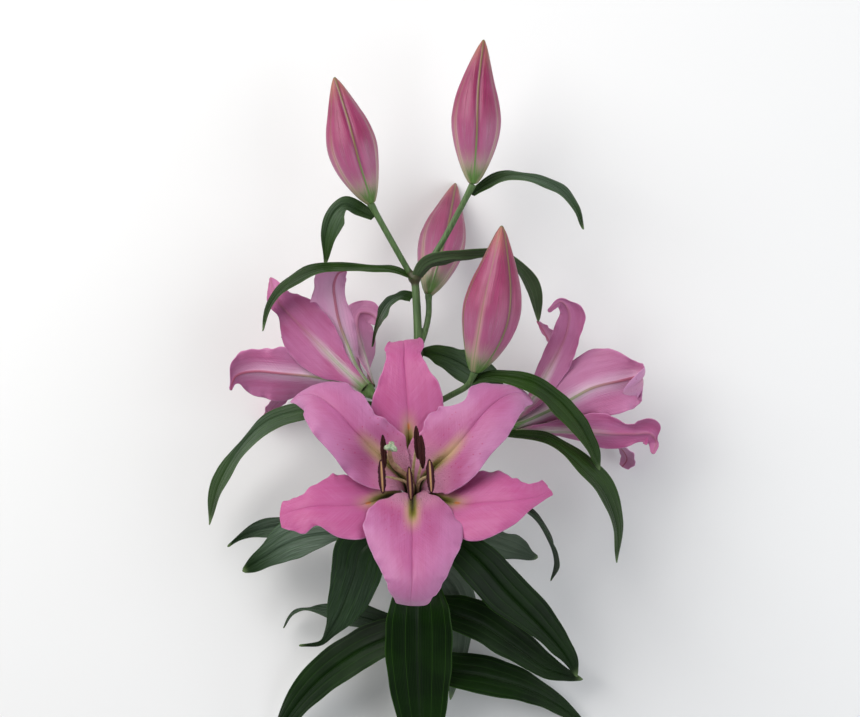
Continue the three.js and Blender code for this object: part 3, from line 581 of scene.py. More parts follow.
def thicken(piece, s, thickness, sides):
    """Makes a sheet solid, thinner towards its margins, with a material on each side."""
    full = piece.vertex_groups.new(name="full")
    for index, weight in enumerate(1 - np.abs(s) ** 2.5):
        full.add([index], float(weight), "REPLACE")
    for side in sides:
        piece.data.materials.append(side)
    apply_modifier(
        piece, "SOLIDIFY", thickness=thickness * MM, offset=0, vertex_group="full",
        thickness_vertex_group=MARGIN_THICKNESS, material_offset=1, material_offset_rim=0,
    )


def blade(name, stations, face, steps, thickness, form, sides, widths, turns=(FLAT,), painted_sheen_share=0.0):
    """A blade on its stations. form(s, share, across) gives a change of width and a lift in mm.
    Widths and turns hold a list for the left half and one for the right, or one for both.
    """
    bpy.ops.mesh.primitive_grid_add(x_subdivisions=steps[1], y_subdivisions=steps[0], size=2)
    piece = bpy.context.object
    piece.name = name
    flat = read_points(piece)
    places, row = np.unique(np.round((flat[:, 1] + 1) / 2, 6), return_inverse=True)
    rows, sideways, normals = rib(stations, face, places)
    gaps = np.linalg.norm(np.diff(rows[:, :3], axis=0), axis=1)
    along = np.concatenate([[0], np.cumsum(gaps)])[row]

    s = 0.7 * flat[:, 0] + 0.3 * flat[:, 0] ** 3  # from -1 to 1, closest at the rib
    share = places[row]
    half, turn = (
        np.where(s < 0, read_list(lists[0], places)[row], read_list(lists[-1], places)[row])
        for lists in (widths, turns)
    )
    half = np.maximum(half, LEAST_HALF_WIDTH) * np.sqrt(np.clip((1 - share) / 0.02, 0.15, 1))
    widen, lift = form(s, share, s * half)
    flat_across, curled = roll_up(s, turn)
    across = flat_across * half * (1 + widen)
    lift = lift + curled * half + rows[row, 3] * half * s**2
    points = rows[row, :3] + sideways[row] * across[:, None] + normals[row] * lift[:, None]
    points[:, 2] = np.maximum(points[:, 2], 0.6 * thickness)  # the floor is never pierced
    write_points(piece, in_frame(points))
    note(piece, "lie", s * half, along, np.abs(s))
    note(piece, "zone", share, painted_sheen_share, 0.0)
    thicken(piece, s, thickness, sides)
    return piece


print("a blade needs stations, a face, a form, two finishes and its widths")

# %% [markdown]
# ## The leaves
# A lily's leaf has no stalk: it narrows to where it clasps the stem. Its veins run side by side from
# root to tip, and the upper side sinks a little along each one, which pleats the leaf. The midrib
# sinks deepest. Younger, paler leaves called bracts stand under the buds and blooms.

# %% Where the leaves lie
# The usual cups, from the root on. The last one holds for the rest, but at the tip the cup is 0.
NARROW, MIDDLING, BROAD = (0.2,), (0.2, 0.2, 0.15), (0.2, 0.15, 0.1)
# A leaf has the way that its upper side faces at the root, its cups, the stations of its rib, and
# its half widths in millimetres at even steps from root to tip: left and right, or both in one.
LEAVES = {
    "bract_bud_a": (
        (-0.3, 0.6, 0.75), NARROW,
        [(-40, 187, 82), (-50, 192, 79), (-61, 196, 81), (-70, 188, 81), (-75, 172, 77),
         (-75, 154, 70)],
        [3.5, 4.5, 5, 5, 5.5, 8.5, 12, 11, 8.5, 5, 1],
        [3.5, 4.5, 5.5, 6, 5.5, 5, 4.5, 4, 2.5, 1.5, 1],
    ),
    "bract_bud_b": (
        (0.2, 0.9, 0.45), NARROW,
        [(30, 203, 81), (42, 211, 78), (58, 217, 84), (78, 214, 86), (94, 206, 82), (104, 193, 76),
         (110, 179, 69)],
        [3.5, 4.5, 6.5, 4.5, 2.5, 2.5, 3, 4.5, 5, 3.5, 1],
        [3.5, 4.5, 6, 7, 7, 7, 7, 6.5, 5.5, 3.5, 1],
    ),
    "leaf_fork_left": (
        (0, 0.85, 0.5), NARROW,
        [(-13, 144, 79), (-30, 150, 84), (-53, 151, 88), (-78, 150, 93), (-98, 141, 92),
         (-112, 126, 89), (-119, 106, 82)],
        [4, 5.5, 7, 9, 10.5, 11.5, 11.5, 9.5, 7, 4.5, 1],
        [4, 5.5, 4, 4, 4.5, 5, 7, 6.5, 5.5, 4.5, 1],
    ),
    "leaf_fork_right": (
        (0, 0.93, -0.36), NARROW,
        [(-9, 144, 80), (-2, 153, 88), (11, 157, 92), (27, 158, 91, 0.2, 10),
         (44, 159, 88, 0.2, 20), (63, 151, 80, 0.2, 25), (74, 134, 71, 0.2, 20),
         (78, 113, 62, 0, 20)],
        [4, 6, 7.5, 8, 8, 8.5, 9, 8.5, 8.5, 6, 1],
        [4, 6, 7.5, 8, 8, 8.5, 9, 8.5, 8.5, 5.5, 1],
    ),
    "bract_stem_left": (
        (-0.3, 0.5, 0.8), NARROW,
        [(-13, 130, 78), (-20, 132, 76), (-30, 127, 70), (-37, 115, 61), (-42, 95, 49)],
        [4, 4.5, 5, 5.5, 7, 10, 12.5, 12, 8, 3, 1],
        [4, 3.5, 3, 2.8, 3, 3.4, 3.8, 3.6, 3, 2, 1],
    ),
    "leaf_behind_bud": (
        (0, 0.3, 0.95), MIDDLING,
        [(-6, 91, 80), (4, 90, 79), (18, 85, 75), (31, 77, 70), (45, 67, 63), (56, 56, 55)],
        [2.5, 4, 6, 7.5, 9, 13, 13, 12, 10, 5.5, 1],
        [2.5, 4, 8, 10, 12, 13, 13, 12, 10, 5.5, 1],
    ),
    "bract_bud_d": (
        (0.2, 0.55, 0.8), NARROW,
        [(30, 71, 96), (47, 75, 101), (70, 71, 107), (89, 59, 99), (104, 43, 92), (114, 26, 85),
         (121, 7, 77)],
        [3.5, 3.5, 4, 4.5, 5, 5, 6.5, 6.5, 5.5, 5, 1],
        [3.5, 5, 7, 9.5, 10.5, 12.5, 13, 11.5, 9, 5, 1],
    ),
    "bract_bloom_right": (
        (0.3, 0.8, 0.5), NARROW,
        [(42, 35, 81), (58, 32, 88), (84, 28, 90, 0.2, 4), (106, 12, 84, 0.2, 12),
         (124, -8, 74, 0.2, 22), (134, -34, 64, 0.2, 25), (135, -61, 54, 0, 25)],
        [3.5, 6, 9, 11, 12, 9, 1],
    ),
    "bract_bloom_left": (
        (-0.4, 0.55, 0.73), NARROW,
        [(-34, 51, 84), (-58, 52, 88), (-87, 51, 88), (-115, 43, 82), (-136, 23, 72),
         (-152, -4, 60), (-160, -34, 48)],
        [3.5, 5.5, 7.5, 9.5, 12, 15.5, 15, 13.5, 13, 7, 1],
        [3.5, 5.5, 4.5, 4.5, 5.5, 5, 4, 4.5, 8, 8, 1],
    ),
    "leaf_left_upper": (
        (-0.1, 0.4, 0.9), MIDDLING,
        [(-11, -60, 56), (-40, -45, 56), (-76, -33, 54), (-107, -34, 48), (-130, -40, 41),
         (-148, -51, 34)],
        [4, 6, 8, 10, 11, 10, 9.5, 8, 4.5, 1.5, 1],
        [4, 6, 8, 10, 7.5, 6.5, 5.5, 6.5, 5.5, 2.5, 1],
    ),
    "leaf_left_lower": (
        (0, 0.3, 0.95), BROAD,
        [(-11, -53, 63), (-32, -44, 68), (-64, -39, 69), (-96, -44, 62), (-118, -56, 54),
         (-136, -68, 46)],
        [4, 7, 11, 6, 4.5, 10.5, 14, 12, 9, 6.5, 1.5],
        [4, 7, 11, 14, 16, 17, 17, 13.5, 9, 5.5, 1.5],
    ),
    "leaf_down_left": (
        (-0.1, 0.2, 0.97), BROAD,
        [(-11, -42, 67), (-29, -39, 76), (-48, -49, 79), (-54, -68, 74), (-62, -90, 66),
         (-72, -110, 56), (-80, -120, 50, 0), (-95, -122, 46)],
        [4, 9.5, 15, 18.5, 19, 17.5, 13.5, 6, 2.5, 1.5, 1],
        [4, 9.5, 15, 18.5, 17.5, 14.5, 10.5, 4.5, 2, 2, 1],
    ),
    "leaf_left_thin": (
        (0, 0.6, 0.8), NARROW,
        [(-11, -114, 42), (-38, -106, 34), (-64, -100, 28), (-88, -97, 26, 0.2, 20),
         (-101, -101, 24, 0.2, 40), (-108, -112, 20, 0, 40)],
        [4, 6.5, 9, 10, 10, 8, 4.5, 4.5, 6, 3.5, 1],
        [4, 6.5, 9, 10, 7, 4.5, 1.5, 2.5, 3.5, 3.5, 1],
    ),
    "leaf_bottom_left": (
        (-0.2, 0.5, 0.85), BROAD,
        [(-11, -105, 47), (-30, -115, 50), (-54, -127, 46), (-82, -149, 36), (-104, -176, 24),
         (-118, -204, 14)],
        [5, 14, 16, 15, 10, 1],
    ),
    "leaf_bottom_centre": (
        (0, 0.6, 0.8), BROAD,
        [(-9, -67, 57), (-8, -81, 70), (-8, -99, 72), (-8, -127, 62), (-7, -161, 48),
         (-5, -196, 35), (-4, -226, 26)],
        [6, 17, 23, 24, 20, 12, 1],
    ),
    "leaf_big_right": (
        (0.2, 0.3, 0.93), BROAD,
        [(-6, -38, 68), (11, -40, 76), (33, -56, 77), (55, -81, 69), (79, -106, 59), (96, -126, 50),
         (107, -145, 42)],
        [4, 8.5, 13.5, 12.5, 15, 15.5, 15.5, 13, 10, 7.5, 1],
        [4, 8.5, 13.5, 16.5, 17.5, 17, 12.5, 8.5, 7, 3, 1],
    ),
    "leaf_right_second": (
        (0.2, 0.5, 0.85), BROAD,
        [(-6, -90, 53), (13, -96, 57), (36, -105, 54), (61, -122, 46), (86, -140, 36),
         (112, -149, 28)],
        [5, 9, 13.5, 15.5, 17, 17, 16, 13.5, 10.5, 5, 1],
        [5, 9, 13, 15, 15, 14.5, 13, 11, 9, 4.5, 1],
    ),
    "leaf_bottom_right": (
        (0.1, 0.6, 0.8), BROAD,
        [(-6, -130, 38), (15, -140, 42), (40, -145, 38), (70, -155, 28), (96, -170, 18),
         (119, -189, 10)],
        [5, 14, 16, 13, 8, 1],
    ),
    "leaf_under_right": (
        (-0.2, -0.2, -0.95), BROAD,
        [(-6, -59, 55), (7, -67, 46), (20, -84, 38), (25, -107, 30), (23, -132, 21),
         (15, -166, 12)],
        [4, 7, 10, 12.5, 14, 15, 15, 14, 12, 6.5, 1],
        [4, 7, 10, 12.5, 14, 15, 10.5, 8.5, 7, 4.5, 1],
    ),
    "leaf_right_twisted": (
        (0.3, 0.8, 0.4), NARROW,
        [(-6, -18, 68), (25, -15, 76), (54, -16, 72), (75, -27, 64), (87, -46, 56), (91, -61, 50),
         (88, -75, 44)],
        [4, 8, 9, 8, 8, 6, 1],
    ),
    "leaf_right_grey": (
        (0, 0.3, -0.95), BROAD,
        [(-5, -50, 62), (18, -41, 62), (42, -43, 58), (62, -51, 52), (78, -58, 47)],
        [4, 5.5, 8, 10, 12, 13, 13, 11, 7.5, 5, 1.5],
        [4, 5.5, 8, 10, 12, 9, 7.5, 9.5, 8, 3, 1.5],
    ),
}
PAINTED_SHEENS = {  # how much pale painted sheen a leaf has
    "leaf_left_lower": 0.7, "leaf_left_upper": 0.5, "leaf_down_left": 0.2, "leaf_behind_bud": 0.3,
    "leaf_left_thin": 0.5, "bract_bud_a": 0.3, "bract_bud_b": 0.5, "bract_bloom_left": 0.3,
    "bract_stem_left": 0.4,
}
TURNED_LEAVES = ("leaf_under_right", "leaf_right_grey")  # these show their undersides
print(len(LEAVES), "leaves and bracts")

# %% The leaves
LEAF_STEPS = (110, 44)
LEAF_THICKNESS = 0.9


def leaf_form(seed):
    """Pleats along the veins, a sunken midrib, and a slow wave along each margin."""
    phases = np.random.default_rng(seed).uniform(0, 2 * math.pi, 4)

    def form(s, share, across):
        beside = np.abs((np.abs(s) * LEAF_VEINS + 0.5) % 1 - 0.5) / LEAF_VEINS
        body = np.sin(math.pi * np.clip(share, 0, 1)) ** 0.5
        pleats = -0.35 * hump(beside, 0.055)
        swell = 0.5 * np.sin(math.pi * np.abs(s))
        midrib = -0.8 * hump(across, 1.3)
        side = np.where(s > 0, phases[0], phases[1])
        wave = waves(2.2 * share, side) + 0.5 * waves(5 * share, side * 2)
        nibble = 0.012 * waves(7 * share, side) * np.abs(s) ** 4
        return nibble, (pleats + swell + midrib + 0.8 * wave * np.abs(s) ** 3) * body

    return form


for seed, (name, (face, cups, rows, *widths)) in enumerate(LEAVES.items()):
    is_bract = name.startswith(("bract", "leaf_fork", "leaf_behind"))
    leaf = blade(
        name + "_blade", filled(rows, cups), face, LEAF_STEPS, LEAF_THICKNESS, leaf_form(seed),
        BRACT_SIDES if is_bract else LEAF_SIDES, widths, painted_sheen_share=PAINTED_SHEENS.get(name, 0.0),
    )
    hand_over(leaf, name, "leaf_under" if name in TURNED_LEAVES else "leaf")
print("leaves made, each of", len(leaf.data.polygons), "faces")

# %% [markdown]
# ## The tepals
# Each bloom has three broad petals inside three narrower sepals. A bloom stands on its foot and
# faces its own way, and each tepal is laid out round that axis: how far along it, how far out from
# it, and how far sideways. So the same few numbers describe a tepal in every bloom. Margins are
# fuller than the blade that carries them, so they ruffle, most of all on the petals.

# %% The blooms and where their tepals lie
BLOOMS = {  # the foot, the way that it faces, and the way that azimuths are counted from
    "front": ((-12, -9, 95), (0, 0.42, 0.907), (1, 0, 0)),
    "left": ((-46, 65, 79), (-0.694, 0.583, -0.423), (0, 0, 1)),
    "right": ((59, 38, 78), (0.834, 0.354, -0.423), (0, 0, 1)),
}
PETAL_ROOT, SEPAL_ROOT = (-1.5, 5, 0, 0.4), (-2, 6.6, 0, 0.4)  # the first station of every tepal
# A tepal has its azimuth, its further stations, its half widths in millimetres at even steps from
# root to tip, and how far each margin rolls up there, in degrees. Widths and turns have a list for
# the left half and one for the right, or one for both.
TEPALS = {
    "front_petal_lower": (
        -90, [(17, 8.5, 0, 0.45), (29, 18, 0, 0.3), (38, 32, 0, 0.1), (48, 52, 0, 0.05), (54, 70),
         (54, 84, 0, -0.1), (46, 94, -1, -0.2), (33, 94, -1)],
        ([3, 5, 10.5, 22.5, 33.5, 34.7, 29.4, 24, 19, 15, 9],
         [3, 5, 11.5, 25, 33.5, 31.6, 25.3, 20, 16.7, 13, 9]),
        ([0, 0, 0, -10, -25, -35, -35, -30, -20, -20, 0],
         [0, 0, 0, -10, -20, -40, -45, -35, -20, -20, 0]),
    ),
    "front_petal_upper_left": (
        150, [(17, 8.5, 0, 0.45), (30, 18, 0, 0.35), (42, 31, 0, 0.2), (52, 46, -2, 0.1),
         (57, 66, -8), (54, 84, -11, -0.1), (47, 95, -8, -0.2), (38, 101, -4)],
        ([3, 6.5, 15.5, 24, 27, 24.5, 25, 19.5, 12.5, 6, 1],
         [3, 5.4, 12.6, 20.3, 21.8, 19.5, 22, 21.6, 15, 8.5, 1]),
        ([0, 0, 0, -10, -25, -20, -20, -20, -30, -20, 0],
         [0, 0, 10, 0, -20, 10, 10, -20, -40, -30, 0]),
    ),
    "front_petal_upper_right": (
        30, [(17, 8.5, 0, 0.45), (30, 18, 0, 0.35), (42, 30, -1, 0.2), (52, 45, 2, 0.1),
         (57, 62, 8), (55, 80, 12, -0.1), (48, 93, 11, -0.2), (40, 99, 4)],
        ([3, 8, 20, 23.5, 30.8, 30, 17.3, 21.2, 16.4, 16, 4],
         [3, 7.5, 18, 25, 26.5, 23.5, 24.5, 20.6, 15.6, 12, 3]),
        ([0, 0, 0, 0, -20, -20, 20, 0, -30, -60, -30],
         [0, 0, 0, -10, -25, -20, -20, -20, -20, -30, 0]),
    ),
    "front_sepal_top": (
        90, [(16, 12.5, 0, 0.3), (27, 24, 2, 0.1), (36, 37, 3, 0.05), (44, 51, 4, 0.05),
         (49, 66, 5, 0.1), (50, 80, 6, 0.1), (46, 92, 6, -0.1), (38, 101, 7, -0.2), (26, 98, 7)],
        ([3.5, 5.9, 14.1, 22.2, 25.4, 22.5, 16.1, 12.6, 14.3, 11, 9],
         [3.5, 5.9, 14.1, 22.2, 25.4, 24.5, 17, 12, 14, 13.5, 9]),
        ([0, 0, 0, 0, 0, 20, 20, 0, 20, 100, 60],
         [0, 0, 0, 0, 0, 20, 20, 0, 10, 80, 60]),
    ),
    "front_sepal_lower_left": (
        210, [(16, 12.5, 0, 0.3), (26, 25, 1, 0.1), (34, 39, 2, 0.05), (42, 55, -2), (45, 72, -10),
         (42, 84, -15, -0.1), (34, 94, -19)],
        ([3.5, 5, 10, 16.8, 21.2, 26, 23.4, 14.6, 18.5, 13.5, 8],
         [3.5, 5, 10, 16.8, 21.2, 25, 27, 18, 11.5, 11.5, 12]),
        ([0, 0, 0, 0, 0, 0, -20, -30, -20, 0, 0],
         [0, 0, 0, 0, 0, 0, -30, -20, 0, -20, -20]),
    ),
    "front_sepal_lower_right": (
        -30, [(16, 12.5, 0, 0.3), (26, 27, -2, 0.1), (35, 41, -1, 0.05), (42, 56, 6), (46, 72, 15),
         (43, 83, 25, -0.1), (34, 88, 38)],
        ([3.5, 5, 10, 16.8, 21.1, 25, 27, 20, 15.4, 10.8, 10],
         [3.5, 5, 10, 16.8, 21.1, 29, 27, 18.7, 8, 4, 4]),
        ([0, 0, 0, 0, 0, 0, -20, -10, 0, 50, 70],
         [0, 0, 0, 0, 0, -20, -30, -30, 0, 0, 0]),
    ),
    "left_sepal_near": (
        0, [(20, 13, 1, 0.25), (42, 21, 3, 0.2), (62, 30, 5, 0.1), (78, 36, 7), (89, 38, 12, -0.2),
         (97, 36, 17)],
        ([3.5, 5.7, 9.6, 15.6, 18.6, 19, 15.5, 11, 8, 5, 1],
         [3.5, 6.5, 16, 20, 20.5, 15.2, 7, 8, 5, 2, 1]),
        ([0, 0, 0, 0, 10, 20, 20, 20, 0, 0, 0],
         [0, 0, 0, 10, 20, 20, 40, 40, 20, 0, 0]),
    ),
    "left_petal_lower": (
        -68, [(18, 9, 0, 0.4, 12), (34, 18.5, 0, 0.35, 28), (53, 33, 0, 0.15, 32),
         (68, 45, 0, 0, 32), (75, 57, 0, -0.1, 30), (69, 68, 0, 0, 30)],
        ([3, 4.4, 7.1, 13, 17.6, 20, 16, 17, 13.8, 3.5, 1.5],
         [3, 4.4, 7.1, 13, 19, 24, 21, 19.4, 13.8, 3.5, 1.5]),
        ([0, 0, 0, 0, 0, 0, 20, 30, 30, 0, 0],
         [0, 0, 0, 0, 0, 0, 0, 0, 20, 0, 0]),
    ),
    "left_petal_upper": (
        60, [(14, 8, 0, 0.4, -10), (28, 17, 0, 0.3, -30), (42, 27, 0, 0.2, -40),
         (52, 37, 0, 0.1, -40), (60, 48, 0, 0, -40), (61, 58, 0, 0, -40), (56, 64, 0, 0, -40)],
        ([3, 4.5, 7.6, 10, 11.2, 10.7, 8.5, 8.4, 7.9, 5.8, 1.5],
         [3, 4.5, 7.6, 11.5, 14.4, 16.4, 18.6, 13.8, 15, 10, 1.5]),
        ([0, 0, 0, 20, 30, 40, 20, 0, 0, 0, 0],
         FLAT),
    ),
    "left_sepal_upper": (
        128, [(18, 17, 0, 0.25, -30), (36, 29, 0, 0.2, -60), (50, 39, 0, 0.1, -70),
         (57, 49, 0, 0, -60), (50, 55, 0, -0.2, -40), (40, 52, 0, 0, -40)],
        ([3.5, 12, 16.5, 14, 9.5, 8.5, 1.5],),
    ),
    "left_sepal_lower": (
        -128, [(18, 14, -1, 0.2), (38, 29, -3, 0.15), (54, 41, -2, 0.1), (64, 56),
         (70, 74, 0, -0.1), (74, 94)],
        ([3.5, 6, 11, 15, 13, 9, 1],),
    ),
    "left_petal_far": (
        180, [(18, 8, 0, 0.4), (40, 15, 0, 0.35), (60, 26, 0, 0.15), (76, 38), (92, 42), (104, 37)],
        ([3, 6.5, 14, 19, 16, 11, 1],),
    ),
    "right_petal_near": (
        0, [(18, 8, 0, 0.4), (38, 15, -1, 0.35), (58, 24, -3, 0.25), (76, 32, 0, 0.05), (87, 36, 2),
         (89, 42, 4), (80, 46, 6), (68, 45, 8)],
        ([3, 5, 9, 16, 22, 22.5, 20, 17, 15, 10, 1.5],
         [3, 5.5, 11, 20, 25.5, 24, 15, 10, 10, 7, 1.5]),
        (FLAT,
         [0, 0, 0, 0, 0, 10, 0, 0, 0, 0, 0]),
    ),
    "right_sepal_upper": (
        -60, [(20, 14, 0, 0.3, 15), (35, 26.5, -2, 0.3, 35), (48, 40.5, -2, 0.2, 40),
         (56, 55, 0, 0.1, 40), (60, 68, -1, 0, 40), (56, 77, -4, 0, 40), (46, 72, -6, 0, 40)],
        ([3.5, 5.5, 7.9, 10.3, 11.8, 11.5, 12, 13.5, 5, 3, 2],
         [3.5, 5.5, 7.9, 9.5, 10.5, 10, 9.6, 7, 6, 4, 2]),
        ([0, 0, 0, 0, -20, -60, -80, -60, 0, 0, 0],
         FLAT),
    ),
    "right_sepal_lower": (
        60, [(20, 14, 0, 0.3, -5), (42, 26, 0, 0.3, -15), (60, 38, -1, 0.2, -25),
         (74, 47, -3, 0, -30), (82, 54, -7, -0.1, -30), (86, 59, 0, 0, -20), (80, 64, 4, 0, -20)],
        ([3.5, 5.7, 9, 12.3, 14, 11.5, 6.8, 9.2, 8.1, 5.4, 1.5],
         [3.5, 5.7, 9, 12.3, 14, 9.5, 10.5, 13, 2, 2, 1.5]),
        (FLAT,
         [0, 0, 0, 0, 0, -40, -60, -30, 0, 0, 0]),
    ),
    "right_petal_lower": (
        120, [(18, 8, 0, 0.4), (40, 16, 0, 0.35), (60, 28, 0, 0.15), (77, 42), (89, 56), (93, 67),
         (88, 72)],
        ([3, 5, 9.4, 14.6, 17.8, 16.6, 12.9, 9, 8, 6.5, 4],
         [3, 5, 9.4, 14.6, 17.8, 16.6, 12.9, 11, 11.5, 9.5, 6]),
    ),
    "right_petal_upper": (
        -120, [(18, 8, 0, 0.4), (40, 16, 0, 0.35), (57, 30, 0, 0.15), (66, 46), (69, 61), (70, 72)],
        ([3, 4.6, 7.8, 12.7, 15.9, 17, 15, 12.1, 9.1, 5.2, 1.5],
         [3, 4.6, 7.8, 12.7, 15.9, 15, 8, 3, 2.5, 2.5, 1.5]),
    ),
    "right_sepal_far": (
        180, [(20, 14, 0, 0.3), (42, 24, 0, 0.2), (60, 34, 0, 0.1), (76, 39.5), (92, 41.2),
         (104, 37)],
        ([3.5, 7, 12, 14, 12, 9, 1],),
    ),
}


class Bloom:
    """A bloom's own directions: its axis, and two ways across it."""

    def __init__(self, foot, facing, zero):
        self.foot = np.array(foot, float)
        self.axis = unit(np.array(facing, float))
        zero = np.array(zero, float)
        self.first = unit(zero - self.axis * (zero @ self.axis))
        self.second = np.cross(self.axis, self.first)

    def place(self, along, u=0.0, v=0.0):
        return self.foot + self.axis * along + self.first * u + self.second * v

    def outward(self, azimuth):
        angle = math.radians(azimuth)
        return self.first * math.cos(angle) + self.second * math.sin(angle)

    def reach(self, points):
        """How far points in millimetres lie from the axis."""
        apart = points - self.foot
        return np.linalg.norm(apart - np.outer(apart @ self.axis, self.axis), axis=1)


blooms = {name: Bloom(*layout) for name, layout in BLOOMS.items()}
print(len(TEPALS), "tepals in", len(blooms), "blooms")

# %% The tepals
TEPAL_STEPS = (110, 60)
TEPAL_THICKNESS = 1.0
WAVES_PER_TEPAL = 2.5
SHORT_FURROW = 11.0  # mm by which the furrows of the front bloom's upper petals end sooner
PAINTED_LIGHT_TEPALS = {  # how much painted light lifts a whole tepal that lies in shade
    "left_petal_upper": 0.65, "left_sepal_upper": 0.4, "left_petal_lower": 0.1, "left_petal_far": 0.3,
    "right_petal_near": 0.2, "right_petal_lower": 0.45, "right_sepal_upper": 0.08,
}


def tepal_form(seed, is_petal):
    """A swelling on each side of a groove, slow ripples, and fine ruffles at the margins."""
    turns = np.random.default_rng(100 + seed).uniform(0, 2 * math.pi, 6)
    phase = 0.2 + 0.1 * (seed % 6)
    size, ruffles, fold, fullness = (1.8, 0.8, 0.45, 1.6) if is_petal else (0.9, 0.6, 0.35, 1.3)

    def form(s, share, across):
        out = np.abs(s)
        body = np.sin(math.pi * share)
        ripple = size * waves(WAVES_PER_TEPAL * share + phase * np.sign(s)) * s**2
        side = np.where(s > 0, 0, 3)
        fine = waves(7.5 * share, turns[side]) + 0.7 * waves(13 * share, turns[side + 1])
        ruffle = ruffles * fine * out**6
        swell = fullness * np.sin(math.pi * out**0.8)
        wander = 4.5 * out + 0.5 * waves(share, turns[side + 2])
        pleats = 0.07 * np.cos(2 * math.pi * wander) * out**0.5
        groove = -fold * hump(across, 0.9) * np.clip((0.97 - share) / 0.3, 0, 1)
        nectary = -1.6 * hump(across, 2.2) * hump(share - 0.2, 0.14)
        return 0.014 * fine * out**6, (ripple + ruffle + swell + pleats) * body + groove + nectary

    return form


def tepal(name, bloom, seed, is_petal, azimuth, rows, widths, turns=(FLAT,)):
    out = bloom.outward(azimuth)
    sideways = np.cross(bloom.axis, out)
    stations = [
        (*(bloom.place(along) + out * away + sideways * side), cup, roll)
        for along, away, side, cup, roll in filled([PETAL_ROOT if is_petal else SEPAL_ROOT, *rows], (0,))
    ]
    piece = blade(
        name + "_blade", stations, -out, TEPAL_STEPS, TEPAL_THICKNESS, tepal_form(seed, is_petal),
        TEPAL_SIDES, widths, turns,
    )
    zone = np.empty(len(piece.data.vertices) * 3)
    piece.data.attributes["zone"].data.foreach_get("vector", zone)
    reach = bloom.reach(read_points(piece) / MM + FOOTPRINT)
    note(piece, "zone", zone[::3], reach, float(is_petal))
    furrow_end = SHORT_FURROW * name.startswith("front_petal_upper")
    note(piece, "tone", furrow_end, PAINTED_LIGHT_TEPALS.get(name, 0.0), 0.0)
    return piece


for seed, (node, layout) in enumerate(TEPALS.items()):
    bloom_name, kind, *_ = node.split("_")
    piece = tepal(node, blooms[bloom_name], seed, kind == "petal", *layout)
    hand_over(piece, node, kind)
print("tepals made, each of", len(piece.data.polygons), "faces")

# %% [markdown]
# ## The buds
# A closed bud is a spindle of six folded tepals. Its skin bulges between six lines that run from
# foot to tip: three are the ribs of the inner petals, which show as olive ridges sunk in grooves,
# and three between them are fine seams. The green foot fades upwards in streaks, and the tip is
# tawny. A ball is the nearest primitive: its poles become the foot and the tip. Its "lie" holds the
# millimetres beside the nearest line, those along the bud, and 1 where the line is a ridge.

# %% The finish of a bud
def bud_finish():
    material, tree = surface(
        "bud_skin", Roughness=0.36, Specular_IOR_Level=0.45,
        Subsurface_Weight=0.08, Subsurface_Radius=(0.004, 0.002, 0.002),
    )
    lie, aside, _, is_ridge = noted(tree, "lie")
    _, share, _, _ = noted(tree, "zone")
    is_seam = calc("SUBTRACT", 1.0, is_ridge)
    off_line = calc("ABSOLUTE", aside)
    streaks = shared(STREAKS, lie, 1.2, 30.0)
    ragged = plus(share, both(calc("SUBTRACT", streaks, 0.5), 0.22))
    beside_seam = ease(plus(off_line, both(streaks, 1.5)), 4.2, 1.2)
    width = plus(both(is_ridge, 0.4), 0.6)
    line = both(ease(off_line, width, both(width, 0.45)), plus(both(is_ridge, 0.4), 0.5))
    line_colour = mix(ease(share, 0.2, 0.45), (92, 128, 62), (118, 98, 60))
    low, streaks_and_sheen = ease(share, 0.66, 0.4), both(ease(streaks, 0.5, 0.85), ease(share, 0.1, 0.25))
    colour = coats(
        mix(ease(streaks, 0.25, 0.75), (146, 42, 88), (112, 22, 62)),
        ((176, 112, 148), ease(ragged, 0.6, 0.28), 0.5),
        ((160, 66, 112), shared(BLOTCHES, object_place(tree), 20.0), 0.35),
        ((160, 98, 76), ease(share, 0.74, 0.97), 0.8),  # the tawny tip
        ((168, 156, 138), ease(ragged, 0.28, 0.12), 0.75),
        # pale streaks low on the bud: partly its own colour, partly painted sheen
        ((212, 176, 198), streaks_and_sheen, low, 0.4),
        ((84, 118, 54), ease(ragged, 0.2, 0.07)),  # the green foot
        # painted shade in the grooves beside each ridge
        ((112, 42, 76), ease(off_line, 3.0, 0.8), is_ridge, ease(share, 0.15, 0.4), 0.75),
        ((190, 160, 144), beside_seam, is_seam, ease(share, 0.66, 0.3), 0.5),
        (line_colour, line),
        ((86, 92, 44), ease(share, 0.975, 0.995)),
    )
    return dress(material, colour, streaks, 0.3)


BUD_SKIN = bud_finish()
print("bud finish:", BUD_SKIN.name)

# %% The buds
BUDS = {  # the line from foot to tip, the greatest radius, and how far the first ridge is turned
    "bud_a": ([(-41.5, 196, 84), (-52.5, 226, 89), (-60, 256, 92), (-67.5, 285, 95)], 17.8, 8),
    "bud_b": ([(30.5, 210, 84.5), (32.3, 243, 87), (33.5, 277, 90), (38, 312, 91)], 17.6, 2),
    "bud_c": ([(-1, 132, 65.5), (6, 160, 45), (12.5, 188, 23), (19, 217, 1)], 17, 6),
    "bud_d": ([(31, 76.5, 100), (40.5, 109, 107), (46.5, 144, 113), (50, 179, 118)], 20.5, 42),
}
BUD_PROFILE = [0.17, 0.4, 0.64, 0.84, 0.96, 1, 0.94, 0.82, 0.64, 0.44, 0.24, 0.05]
BUD_SEGMENTS, BUD_RINGS = 180, 110
LINE_APART = 60  # degrees from one of a bud's lines to the next
LEAST_SWELL = 0.045  # as a share of the greatest radius


